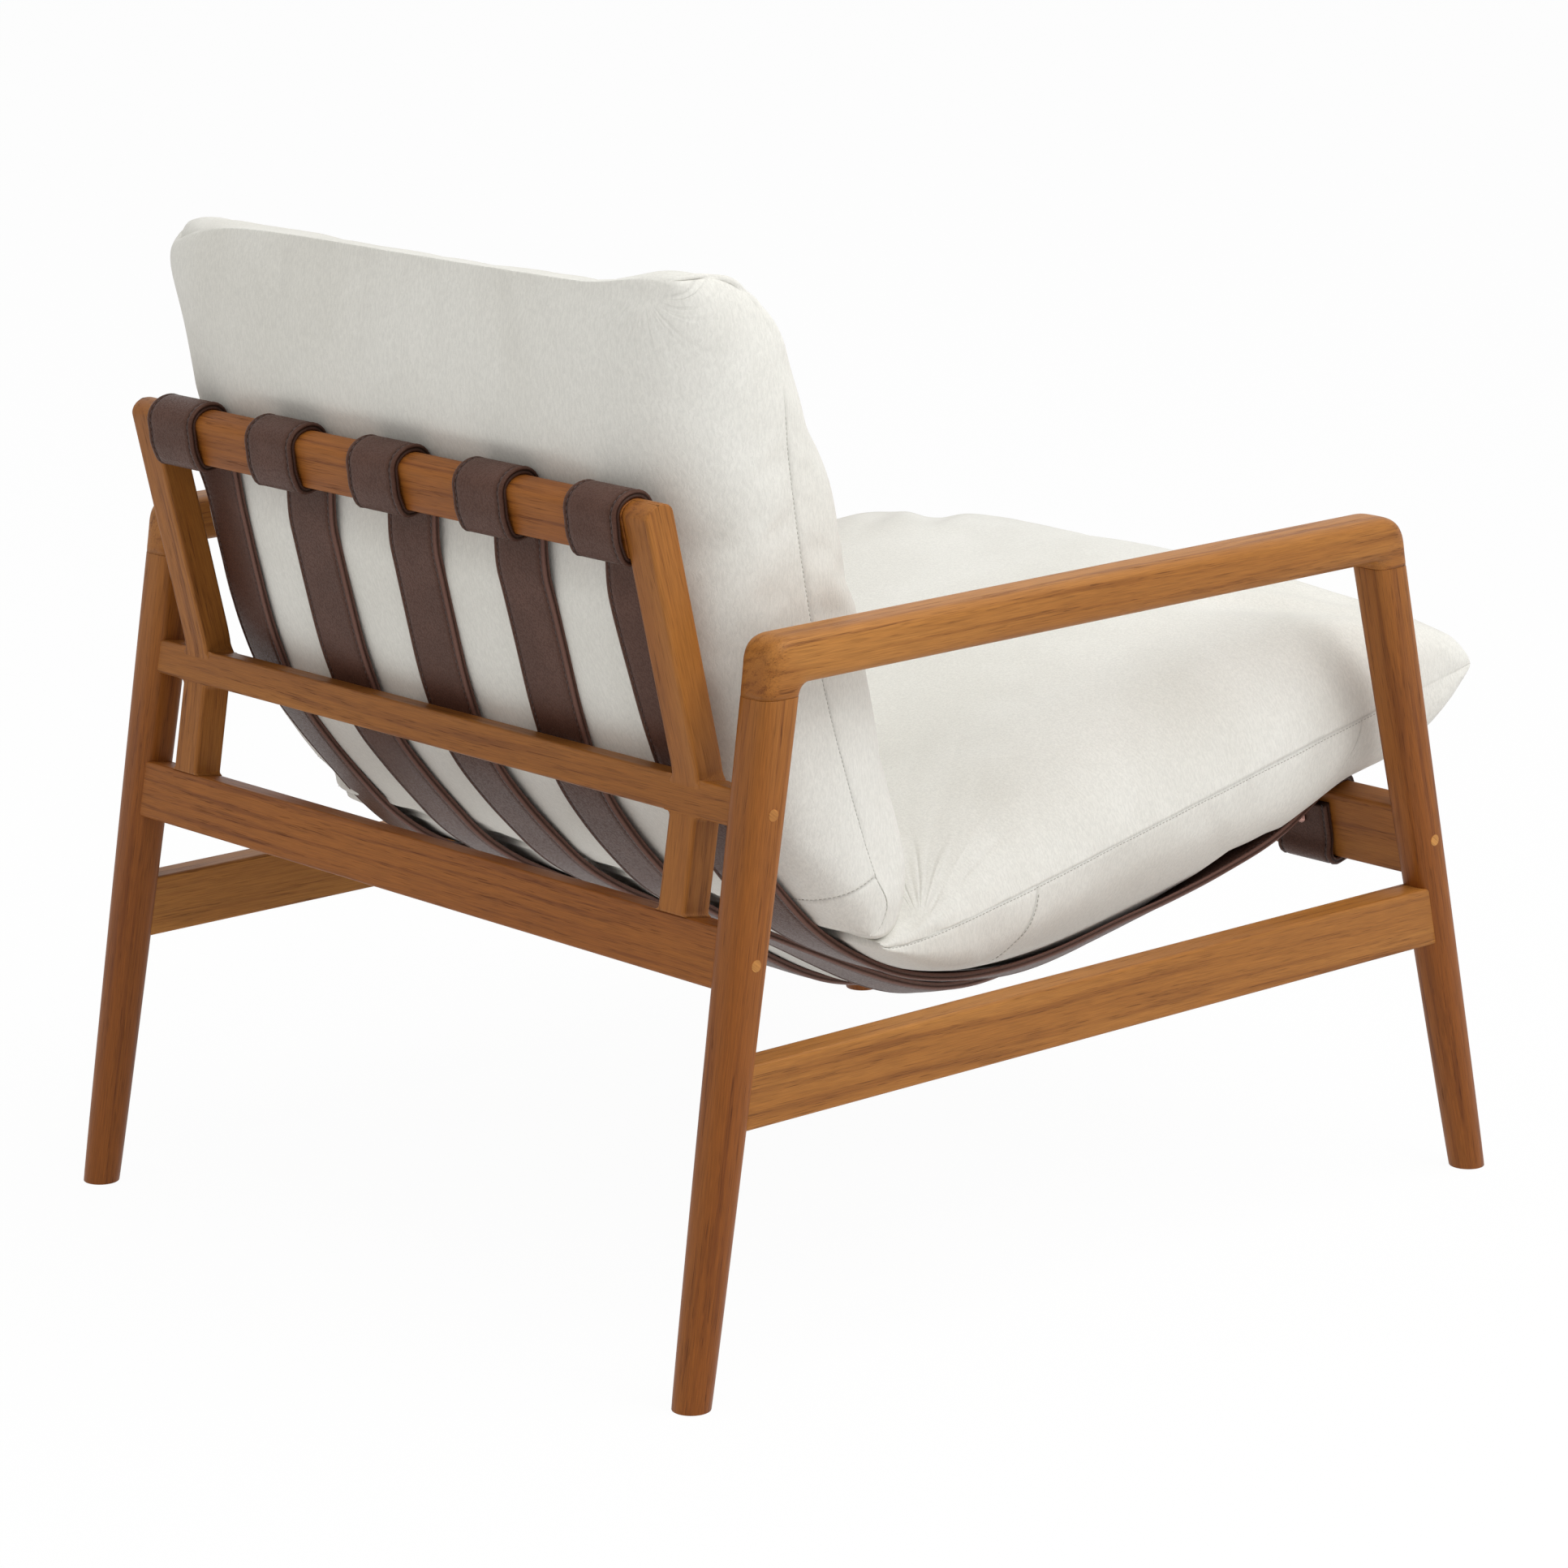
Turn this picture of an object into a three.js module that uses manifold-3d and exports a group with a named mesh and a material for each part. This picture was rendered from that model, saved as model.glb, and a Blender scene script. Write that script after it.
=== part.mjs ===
// Sling lounge chair: teak frame, five hanging leather straps, loose seat and back cushions.
// Millimetres. +Z is up, the seat faces -Y, the chair is symmetric about X = 0.
// The origin is on the floor, under the middle of the whole chair.
import * as THREE from 'three';
import { mergeVertices } from 'three/addons/utils/BufferGeometryUtils.js';
import Module from 'manifold-3d';

const wasm = await Module();
wasm.setup();

// Fits
const jointGap = 0.3;
const restGap = 0.4;
const cutOverrunLength = 2;

// Legs. Each stands on a round foot and grows to a rounded square under the armrest.
const legSpacing = 726;
const legLeanRate = 0.014;
const footDiameter = 29;
const legTopWidth = 36;
const rearFootY = 423;
const rearRakeRate = -0.162;
const rearLegTop = 512;
const frontFootY = -430;
const frontRakeRate = 0.232;
const frontLegTop = 518;

// Armrests
const armWidth = 39;
const armThickness = 36;
const armRearHeight = 556;
const armFrontHeight = 560;
const armRearCornerRadius = 20;
const armFrontCornerRadius = 25;
const armInnerCornerRadius = 7;

// Rails are cut from one stock thickness
const railThickness = 26;
const railEdgeRadius = 2;
const sideRailHeight = 48;
const sideRailCentreZ = 225;
const tenonThickness = 10;
const tenonHeight = 34;
const tenonPastCentreLength = 5;
const lowerRailHeight = 45;
const upperRailHeight = 27;
const upperRailBelowLegTopLength = 82.7;
const rearRailsApartHeight = 72.5;
const frontRailAlongLeg = 297;
const frontRailHeight = 59;

// Back posts and top rail
const postWidth = 28;
const postInsetWidth = 84;
const postInnerX = legSpacing / 2 - postInsetWidth;
const reclineRate = 0.24;
const postAboveKinkLength = 212;
const bendBelowKinkLength = 10;
const bendAboveKinkLength = 20;
const topRailHeight = 41;
const topCrownHeight = 9;
const topRailCornerRadius = 3;

// Straps
const strapCount = 5;
const strapWidth = 57;
const strapToPostWidth = 29;
const strapPitch = (postInnerX - strapToPostWidth) / ((strapCount - 1) / 2);
const strapThickness = 6;
const seatSagDepth = 82;
const middleSagDepth = 95;
const flapEndDropLength = 10;

// Fasteners
const plugDiameter = 10;
const plugDepth = 7;
const screwHeadDiameter = 8.4;
const screwHeadHeight = 4;
const screwShankDiameter = 4.6;
const screwLength = 54;
const dowelDiameter = 10;
const dowelLength = 44;
const railDowelDiameter = 8;
const railDowelLength = 40;
const railDowelSpacing = 20;
const snapDropLength = 25;
const snapCapDiameter = 10;
const snapCapHeight = 3;
const snapNeckDiameter = 4.4;
const snapFlangeDiameter = 9;
const snapFlangeThickness = 1;
const snapScrewDiameter = 3;
const snapScrewLength = 13;

// Cushions
const seatInsetWidth = 45;
const seatHalfWidth = legSpacing / 2 - seatInsetWidth;
const seatRearY = 197;
const seatRearZ = 298;
const seatFrontY = -450;
const seatFrontZ = 412;
const seatCrownHeight = 150;
const seatSeamDipDepth = 15;
const backInsetWidth = 46;
const backHalfWidth = legSpacing / 2 - backInsetWidth;
const backBottomY = 206;
const backBottomZ = 306;
const backTopY = 374;
const backTopZ = 799;
const backCrownDepth = 103;
const cushionEarWidth = 6;
const cornerReachLength = 10;
const cushionEdgeHeight = 5;
const cushionEdgeBelowHeight = 2;

// Mesh fineness
const legSides = 20;
const legRings = 6;
const armSides = 16;
const roundSides = 16;
const cushionSides = 36;
const cushionRings = 17;

// Colours and finishes
const teak = { color: 0xb5713a, roughness: 0.55, metalness: 0 };
const teakPale = { color: 0xc98f52, roughness: 0.6, metalness: 0 };
const leather = { color: 0x4a3330, roughness: 0.5, metalness: 0 };
const cloth = { color: 0xe4e1d8, roughness: 0.9, metalness: 0 };
const copper = { color: 0x9a6a58, roughness: 0.35, metalness: 0.9 };
const steel = { color: 0xb9b9b4, roughness: 0.35, metalness: 1 };
const beech = { color: 0xd9b889, roughness: 0.7, metalness: 0 };

const chair = new THREE.Group();

function addPart(name, geometry, finish) {
  geometry.computeVertexNormals();
  const mesh = new THREE.Mesh(geometry, new THREE.MeshStandardMaterial(finish));
  mesh.name = name;
  chair.add(mesh);
}

// Solids: closed triangle meshes going in and out of the boolean library
function toSolid(geometry) {
  const bare = geometry.clone();
  bare.deleteAttribute('normal');
  bare.deleteAttribute('uv');
  const merged = mergeVertices(bare);
  const vertProperties = new Float32Array(merged.attributes.position.array);
  const triVerts = new Uint32Array(merged.index.array);
  return new wasm.Manifold(new wasm.Mesh({ numProp: 3, vertProperties, triVerts }));
}

function toGeometry(solid) {
  const mesh = solid.getMesh();
  const count = mesh.vertProperties.length / mesh.numProp;
  const positions = new Float32Array(count * 3);
  for (let i = 0; i < count; i += 1) {
    positions.set(mesh.vertProperties.subarray(i * mesh.numProp, i * mesh.numProp + 3), i * 3);
  }
  const geometry = new THREE.BufferGeometry();
  geometry.setAttribute('position', new THREE.BufferAttribute(positions, 3));
  geometry.setIndex(new THREE.BufferAttribute(new Uint32Array(mesh.triVerts), 1));
  return geometry;
}

// Sum of the signed tetrahedra under every face, positive when the faces point out
function signedVolume(points, index) {
  let volume = 0;
  for (let i = 0; i < index.length; i += 3) {
    const [a, b, c] = [points[index[i]], points[index[i + 1]], points[index[i + 2]]];
    volume += a.dot(b.clone().cross(c));
  }
  return volume;
}

// A closed skin through rings of equal point counts, with flat ends
function loft(rings) {
  const sides = rings[0].length;
  const points = rings.flat();
  const index = [];
  for (let r = 0; r + 1 < rings.length; r += 1) {
    for (let s = 0; s < sides; s += 1) {
      const a = r * sides + s;
      const b = r * sides + ((s + 1) % sides);
      index.push(a, b, b + sides);
      index.push(a, b + sides, a + sides);
    }
  }
  const last = (rings.length - 1) * sides;
  for (let s = 1; s + 1 < sides; s += 1) {
    index.push(0, s + 1, s);
    index.push(last, last + s, last + s + 1);
  }
  if (signedVolume(points, index) < 0) {
    index.reverse();
  }
  const geometry = new THREE.BufferGeometry();
  geometry.setFromPoints(points);
  geometry.setIndex(index);
  return geometry;
}

// A point of a squared circle: power 2 is round, higher powers are squarer
function squircle(angle, power) {
  const c = Math.cos(angle);
  const s = Math.sin(angle);
  const across = Math.sign(c) * Math.abs(c) ** (2 / power);
  const along = Math.sign(s) * Math.abs(s) ** (2 / power);
  return [across, along];
}

function ringAngles(sides) {
  return Array.from({ length: sides }, (_, i) => ((i + 0.5) / sides) * 2 * Math.PI);
}

// Legs
function legCentreX(z) {
  return legSpacing / 2 - legLeanRate * z;
}

function rearLegY(z) {
  return rearFootY + rearRakeRate * z;
}

function frontLegY(z) {
  return frontFootY + frontRakeRate * z;
}

function legHalfWidth(z, top) {
  const swellPower = 0.7;
  return THREE.MathUtils.lerp(footDiameter / 2, legTopWidth / 2, Math.min(z / top, 1) ** swellPower);
}

function legPower(z, top) {
  const topPower = 3.4;
  return THREE.MathUtils.lerp(2, topPower, Math.min(z / top, 1));
}

// A leg is a stack of level sections; grow makes the same leg thicker for coped cuts
function legGeometry(side, centreY, top, grow = 0) {
  const rings = [];
  for (let r = 0; r < legRings; r += 1) {
    const z = (r / (legRings - 1)) * top;
    const half = legHalfWidth(z, top) + grow;
    const power = legPower(z, top);
    const ring = ringAngles(legSides).map((angle) => {
      const [u, v] = squircle(angle, power);
      return new THREE.Vector3(side * legCentreX(z) + u * half, centreY(z) + v * half, z);
    });
    rings.push(ring);
  }
  return loft(rings);
}

const legs = {
  rear: { centreY: rearLegY, top: rearLegTop },
  front: { centreY: frontLegY, top: frontLegTop },
};

function legSolid(kind, side, grow = 0) {
  return toSolid(legGeometry(side, legs[kind].centreY, legs[kind].top, grow));
}

// Raked frames: v runs up along the leg from its foot, w squarely behind it
function rakedFrame(footY, rakeRate) {
  const length = Math.hypot(rakeRate, 1);
  const along = new THREE.Vector2(rakeRate / length, 1 / length);
  const behind = new THREE.Vector2(1 / length, -rakeRate / length);
  return { foot: new THREE.Vector2(footY, 0), along, behind, angle: -Math.atan(rakeRate) };
}

function rakedPoint(frame, v, w) {
  return frame.foot.clone().addScaledVector(frame.along, v).addScaledVector(frame.behind, w);
}

const rearFrame = rakedFrame(rearFootY, rearRakeRate);
const frontFrame = rakedFrame(frontFootY, frontRakeRate);

// The rear rails are set out down the leg from its top
const rearLegLength = rearLegTop / rearFrame.along.y;
const upperRailAlongLeg = rearLegLength - upperRailBelowLegTopLength;
const rearRailsPitch = rearRailsApartHeight + (upperRailHeight + lowerRailHeight) / 2;
const lowerRailAlongLeg = upperRailAlongLeg - rearRailsPitch;

// A box standing in a raked frame, lowX to highX, centred at (v, w)
function rakedBox(frame, lowX, highX, v, w, height, thickness) {
  const geometry = new THREE.BoxGeometry(highX - lowX, thickness, height);
  const centre = rakedPoint(frame, v, w);
  geometry.rotateX(frame.angle);
  geometry.translate((lowX + highX) / 2, centre.x, centre.y);
  return geometry;
}

// Side view outlines (y, z) become plates by extrusion along X
function plateAlongX(outline, lowX, highX, edgeRadius = 0) {
  const shape = new THREE.Shape(outline);
  const settings = {
    depth: highX - lowX - 2 * edgeRadius,
    bevelEnabled: edgeRadius > 0,
    bevelThickness: edgeRadius,
    bevelSize: edgeRadius,
    bevelOffset: -edgeRadius,
    bevelSegments: 1,
    steps: 1,
    curveSegments: 6,
  };
  const geometry = new THREE.ExtrudeGeometry(shape, settings);
  geometry.translate(0, 0, lowX + edgeRadius);
  const basis = new THREE.Matrix4();
  basis.makeBasis(new THREE.Vector3(0, 1, 0), new THREE.Vector3(0, 0, 1), new THREE.Vector3(1, 0, 0));
  geometry.applyMatrix4(basis);
  return geometry;
}

// Outline of a rail's section with rounded corners, in a raked frame
function railOutline(frame, v, height, thickness, corner) {
  const points = [];
  const steps = 3;
  const corners = [[1, 1], [-1, 1], [-1, -1], [1, -1]];
  corners.forEach(([signW, signV], c) => {
    const middleW = signW * (thickness / 2 - corner);
    const middleV = v + signV * (height / 2 - corner);
    for (let i = 0; i <= steps; i += 1) {
      const angle = (c + i / steps) * (Math.PI / 2);
      const w = middleW + corner * Math.cos(angle);
      points.push(rakedPoint(frame, middleV + corner * Math.sin(angle), w));
    }
  });
  return points;
}

// Round pieces turned about their own axis, laid along a direction
function turned(profile, start, direction) {
  const outline = profile.map(([radius, along]) => new THREE.Vector2(radius, along));
  const geometry = new THREE.LatheGeometry(outline, roundSides);
  const turn = new THREE.Quaternion();
  turn.setFromUnitVectors(new THREE.Vector3(0, 1, 0), direction.clone().normalize());
  geometry.applyQuaternion(turn);
  geometry.translate(start.x, start.y, start.z);
  return geometry;
}

function rodProfile(radius, length) {
  return [[0, 0], [radius, 0], [radius, length], [0, length]];
}

// A polyline moved sideways by one distance, to its left when the distance is positive
function offsetLine(line, distance) {
  return line.map((point, i) => {
    const before = line[Math.max(i - 1, 0)];
    const after = line[Math.min(i + 1, line.length - 1)];
    const into = point.clone().sub(before);
    const out = after.clone().sub(point);
    const useInto = into.lengthSq() > 0 ? into.normalize() : out.clone().normalize();
    const useOut = out.lengthSq() > 0 ? out.normalize() : useInto.clone();
    const tangent = useInto.clone().add(useOut).normalize();
    const stretch = 1 / Math.max(tangent.dot(useOut), Math.SQRT1_2);
    const normal = new THREE.Vector2(-tangent.y, tangent.x);
    return point.clone().addScaledVector(normal, stretch * distance);
  });
}

// A polyline given a thickness to both sides, as a closed side-view outline
function ribbonOutline(line, thickness) {
  return offsetLine(line, thickness / 2).concat(offsetLine(line, -thickness / 2).reverse());
}

// The back posts follow the rear legs, bend at the upper rail and recline above it
const halfStock = railThickness / 2;
const kinkAlong = upperRailAlongLeg + upperRailHeight / 2;
const kinkPoint = rakedPoint(rearFrame, kinkAlong, 0);
const reclineFrame = rakedFrame(0, reclineRate);
reclineFrame.foot.copy(kinkPoint);
const lowerRailTop = lowerRailAlongLeg + lowerRailHeight / 2;
const crownBase = postAboveKinkLength - topCrownHeight;

// Height on the crowned top of the post and top rail, offset outwards by spread
function crownArc(spread, steps) {
  const points = [];
  for (let i = 0; i <= steps; i += 1) {
    const angle = (i / steps) * Math.PI;
    const w = (halfStock + spread) * Math.cos(angle);
    const v = crownBase + (topCrownHeight + spread) * Math.sin(angle);
    points.push(rakedPoint(reclineFrame, v, w));
  }
  return points;
}

const crownSteps = 8;

function postOutline() {
  const bendSteps = 5;
  const start = rakedPoint(rearFrame, lowerRailTop + jointGap, 0);
  const enter = rakedPoint(rearFrame, kinkAlong - bendBelowKinkLength, 0);
  const leave = rakedPoint(reclineFrame, bendAboveKinkLength, 0);
  const bend = new THREE.QuadraticBezierCurve(enter, kinkPoint, leave);
  const shoulder = rakedPoint(reclineFrame, crownBase, 0);
  const line = [start, ...bend.getPoints(bendSteps), shoulder];
  const sides = ribbonOutline(line, railThickness);
  const front = sides.slice(0, line.length);
  const rear = sides.slice(line.length);
  const crown = crownArc(0, crownSteps).slice(1, -1).reverse();
  return front.concat(crown, rear);
}

// Strap route in side view: a loop over the top rail, a hanging run, a loop round the front rail
const strapOffset = jointGap + strapThickness / 2;
const topRailBottom = postAboveKinkLength - topRailHeight;
const topFrontW = -(halfStock + strapOffset);
const runStart = rakedPoint(reclineFrame, topRailBottom - strapOffset, topFrontW);
const frontRailTop = frontRailAlongLeg + frontRailHeight / 2;
const frontRailBottom = frontRailAlongLeg - frontRailHeight / 2;
const runEnd = rakedPoint(frontFrame, frontRailTop + strapOffset, halfStock);

// Shares of the run's depth (y) and of its height above the lowest point (z)
const hangShares = [
  [0.986, 0.892], [0.968, 0.761], [0.942, 0.598], [0.908, 0.456], [0.87, 0.358], [0.827, 0.265],
  [0.78, 0.175], [0.724, 0.096], [0.659, 0.036], [0.59, 0.006], [0.524, 0], [0.461, 0.007],
  [0.4, 0.021], [0.33, 0.04], [0.25, 0.062], [0.168, 0.092], [0.075, 0.142],
];

// The run at the outer edge of the outer straps
function edgeRunLine() {
  const lowest = runEnd.y - seatSagDepth;
  const depth = runStart.x - runEnd.x;
  const height = runStart.y - lowest;
  const between = hangShares.map(([deep, high]) => {
    return new THREE.Vector2(runEnd.x + deep * depth, lowest + high * height);
  });
  const runSteps = 44;
  return new THREE.SplineCurve([runStart, ...between, runEnd]).getPoints(runSteps);
}

const edgeRun = edgeRunLine();
const outerEdgeX = ((strapCount - 1) / 2) * strapPitch + strapWidth / 2;

// Under the sitter the straps sag further towards the middle of the chair
function sagAt(x, y) {
  const sagReachShare = 0.686;
  const deep = (y - runEnd.x) / (runStart.x - runEnd.x);
  if (deep <= 0 || deep >= sagReachShare) {
    return 0;
  }
  const along = Math.sin((deep / sagReachShare) * Math.PI) ** 2;
  return middleSagDepth * along * (1 - (x / outerEdgeX) ** 2);
}

function strapRun(x) {
  return edgeRun.map((point) => new THREE.Vector2(point.x, point.y - sagAt(x, point.x)));
}

// A flat strap stands this much proud of the hollow between its own edges
const strapBow = middleSagDepth * (strapWidth / 2 / outerEdgeX) ** 2;

// The cushions rest on these lines, just clear of the run's upper face
const backRest = offsetLine(edgeRun, -(strapThickness / 2 + restGap));
const seatRest = offsetLine(edgeRun, -(strapThickness / 2 + strapBow + restGap));

function restHeightAt(x, y) {
  const i = Math.max(seatRest.findIndex((point) => point.x <= y), 1);
  const [a, b] = [seatRest[i - 1], seatRest[i]];
  return THREE.MathUtils.lerp(a.y, b.y, (y - a.x) / (b.x - a.x)) - sagAt(x, y);
}

function restDepthAt(z) {
  const i = Math.max(backRest.findIndex((point) => point.y <= z), 1);
  const [a, b] = [backRest[i - 1], backRest[i]];
  return THREE.MathUtils.lerp(a.x, b.x, (z - a.y) / (b.y - a.y));
}

// Quarter turn points round a rail's corner at (v, w), from angle a to angle b in the frame
function cornerTurn(frame, v, w, radius, from, to) {
  const steps = 4;
  const points = [];
  for (let i = 0; i <= steps; i += 1) {
    const angle = THREE.MathUtils.lerp(from, to, i / steps);
    points.push(rakedPoint(frame, v + radius * Math.sin(angle), w + radius * Math.cos(angle)));
  }
  return points;
}

function topLoopLine() {
  const turnRadius = topRailCornerRadius + strapOffset;
  const cornerV = topRailBottom + topRailCornerRadius;
  const tongueEndW = topFrontW + strapThickness / 2 + jointGap;
  const tongue = rakedPoint(reclineFrame, topRailBottom - strapOffset, tongueEndW);
  const quarter = Math.PI / 2;
  const under = cornerTurn(reclineFrame, cornerV, halfStock - topRailCornerRadius, turnRadius, -quarter, 0);
  const overSteps = 12;
  const over = crownArc(strapOffset, overSteps);
  return [tongue, ...under, ...over];
}

function frontLoopLine() {
  const radius = railEdgeRadius + strapOffset;
  const highV = frontRailTop - railEdgeRadius;
  const lowV = frontRailBottom + railEdgeRadius;
  const deepW = halfStock - railEdgeRadius;
  const quarter = Math.PI / 2;
  const flapEnd = rakedPoint(frontFrame, frontRailTop - flapEndDropLength, halfStock + strapOffset);
  return [
    ...cornerTurn(frontFrame, highV, -deepW, radius, quarter, 2 * quarter),
    ...cornerTurn(frontFrame, lowV, -deepW, radius, 2 * quarter, 3 * quarter),
    ...cornerTurn(frontFrame, lowV, deepW, radius, 3 * quarter, 4 * quarter),
    flapEnd,
  ];
}

// A strap lies between the outlines of its two edges, which sag by different amounts
function strapOutline(x) {
  const line = [...topLoopLine(), ...strapRun(x), ...frontLoopLine()];
  return ribbonOutline(line, strapThickness);
}

function plateBetween(lowOutline, lowX, highOutline, highX) {
  const clockwise = THREE.ShapeUtils.isClockWise(lowOutline);
  const lows = clockwise ? [...lowOutline].reverse() : lowOutline;
  const highs = clockwise ? [...highOutline].reverse() : highOutline;
  const points = lows.map((point) => new THREE.Vector3(lowX, point.x, point.y));
  points.push(...highs.map((point) => new THREE.Vector3(highX, point.x, point.y)));
  const sides = lows.length;
  const index = [];
  for (let s = 0; s < sides; s += 1) {
    const next = (s + 1) % sides;
    index.push(s, next, next + sides);
    index.push(s, next + sides, s + sides);
  }
  for (const [a, b, c] of THREE.ShapeUtils.triangulateShape(lows, [])) {
    index.push(a, c, b);
    index.push(a + sides, b + sides, c + sides);
  }
  const geometry = new THREE.BufferGeometry();
  geometry.setFromPoints(points);
  geometry.setIndex(index);
  return geometry;
}

// Snaps: a headed screw stud seats in the front rail and passes the flap, a domed cap covers it
const snapAlong = frontRailTop - snapDropLength;

function snapPoint(x, w) {
  const point = rakedPoint(frontFrame, snapAlong, w);
  return new THREE.Vector3(x, point.x, point.y);
}

const snapDirection = new THREE.Vector3(0, frontFrame.behind.x, frontFrame.behind.y);

function snapHoles(x) {
  const gap = jointGap;
  const flapHole = rodProfile(snapNeckDiameter / 2 + gap, strapThickness + 2 * cutOverrunLength);
  const seat = [
    [0, -snapScrewLength - gap],
    [snapScrewDiameter / 2 + gap, -snapScrewLength - gap],
    [snapScrewDiameter / 2 + gap, -snapFlangeThickness - gap],
    [snapFlangeDiameter / 2 + gap, -snapFlangeThickness - gap],
    [snapFlangeDiameter / 2 + gap, cutOverrunLength],
    [0, cutOverrunLength],
  ];
  return {
    flap: toSolid(turned(flapHole, snapPoint(x, halfStock + jointGap - cutOverrunLength), snapDirection)),
    rail: toSolid(turned(seat, snapPoint(x, halfStock), snapDirection)),
  };
}

function snapStud(x) {
  const neckTop = strapThickness + 2 * jointGap + snapCapHeight / 2 - jointGap;
  const profile = [
    [0, -snapScrewLength],
    [snapScrewDiameter / 2, -snapScrewLength + snapScrewDiameter / 2],
    [snapScrewDiameter / 2, -snapFlangeThickness],
    [snapFlangeDiameter / 2, -snapFlangeThickness],
    [snapFlangeDiameter / 2, 0],
    [snapNeckDiameter / 2, 0],
    [snapNeckDiameter / 2, neckTop],
    [0, neckTop],
  ];
  return turned(profile, snapPoint(x, halfStock), snapDirection);
}

function snapCap(x) {
  const base = halfStock + strapThickness + 2 * jointGap;
  const rim = snapCapHeight / 4;
  const dome = [[0, snapCapHeight / 2], [snapNeckDiameter / 2 + jointGap, snapCapHeight / 2]];
  dome.push([snapNeckDiameter / 2 + jointGap, 0], [snapCapDiameter / 2, 0]);
  const steps = 3;
  for (let i = 0; i <= steps; i += 1) {
    const angle = (i / steps) * (Math.PI / 2);
    const radius = (snapCapDiameter / 2) * Math.cos(angle);
    dome.push([i === steps ? 0 : radius, rim + (snapCapHeight - rim) * Math.sin(angle)]);
  }
  return turned(dome, snapPoint(x, base), snapDirection);
}

// Screws under plugs, driven along X through a leg into the end of a cross rail
function screwSites(side) {
  const upper = rakedPoint(rearFrame, upperRailAlongLeg, 0);
  const lower = rakedPoint(rearFrame, lowerRailAlongLeg, 0);
  const front = rakedPoint(frontFrame, frontRailAlongLeg, 0);
  return [
    { name: 'upper_rear', leg: 'rear', point: upper },
    { name: 'lower_rear', leg: 'rear', point: lower },
    { name: 'front', leg: 'front', point: front },
  ].map((site) => {
    const half = legHalfWidth(site.point.y, legs[site.leg].top);
    const faceX = side * (legCentreX(site.point.y) + half);
    const start = new THREE.Vector3(faceX, site.point.x, site.point.y);
    return { ...site, start, inward: new THREE.Vector3(-side, 0, 0) };
  });
}

function screwHole(site) {
  const gap = jointGap;
  const wide = plugDiameter / 2 + gap / 2;
  const profile = [
    [0, -cutOverrunLength],
    [wide, -cutOverrunLength],
    [wide, plugDepth + screwHeadHeight / 2],
    [screwShankDiameter / 2 + gap, plugDepth + screwHeadHeight + gap],
    [screwShankDiameter / 2 + gap, plugDepth + screwLength + gap],
    [0, plugDepth + screwLength + gap],
  ];
  return toSolid(turned(profile, site.start, site.inward));
}

function screw(site) {
  const top = plugDepth + jointGap;
  const shank = screwShankDiameter / 2;
  const profile = [
    [0, top],
    [screwHeadDiameter / 2, top],
    [shank, top + screwHeadHeight],
    [shank, plugDepth + screwLength - screwShankDiameter],
    [0, plugDepth + screwLength],
  ];
  return turned(profile, site.start, site.inward);
}

// A plug fills its bore and is planed to the leg's own surface
function plug(site, side) {
  const profile = rodProfile(plugDiameter / 2 - jointGap / 2, plugDepth + cutOverrunLength);
  const start = site.start.clone().addScaledVector(site.inward, -cutOverrunLength);
  return toSolid(turned(profile, start, site.inward)).intersect(legSolid(site.leg, side));
}

// Dowels between each leg's top and the armrest's turned-down end
function armDowelStart(kind, side) {
  const { centreY, top } = legs[kind];
  const low = top - dowelLength / 2;
  return new THREE.Vector3(side * legCentreX(low), centreY(low), low);
}

function legDirection(kind, side) {
  const rate = kind === 'rear' ? rearRakeRate : frontRakeRate;
  return new THREE.Vector3(-side * legLeanRate, rate, 1).normalize();
}

function armDowel(kind, side, grow = 0) {
  const profile = rodProfile(dowelDiameter / 2 + grow, dowelLength + 2 * grow);
  const direction = legDirection(kind, side);
  const start = armDowelStart(kind, side).addScaledVector(direction, -grow);
  return turned(profile, start, direction);
}

// The side rail's tenon runs past each leg's centre line into a blind mortise
function tenonBox(side, grow = 0) {
  const rearEnd = rearLegY(sideRailCentreZ) + tenonPastCentreLength + grow;
  const frontEnd = frontLegY(sideRailCentreZ) - tenonPastCentreLength - grow;
  const thickness = tenonThickness + 2 * grow;
  const height = tenonHeight + 2 * grow;
  const geometry = new THREE.BoxGeometry(thickness, rearEnd - frontEnd, height);
  geometry.translate(side * legCentreX(sideRailCentreZ), (rearEnd + frontEnd) / 2, sideRailCentreZ);
  return toSolid(geometry);
}

function buildLeg(kind, side, label) {
  let solid = legSolid(kind, side);
  for (const site of screwSites(side).filter((each) => each.leg === kind)) {
    solid = solid.subtract(screwHole(site));
  }
  solid = solid.subtract(tenonBox(side, jointGap));
  solid = solid.subtract(toSolid(armDowel(kind, side, jointGap)));
  addPart(`${kind}_leg_${label}`, toGeometry(solid), teak);
}

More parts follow.
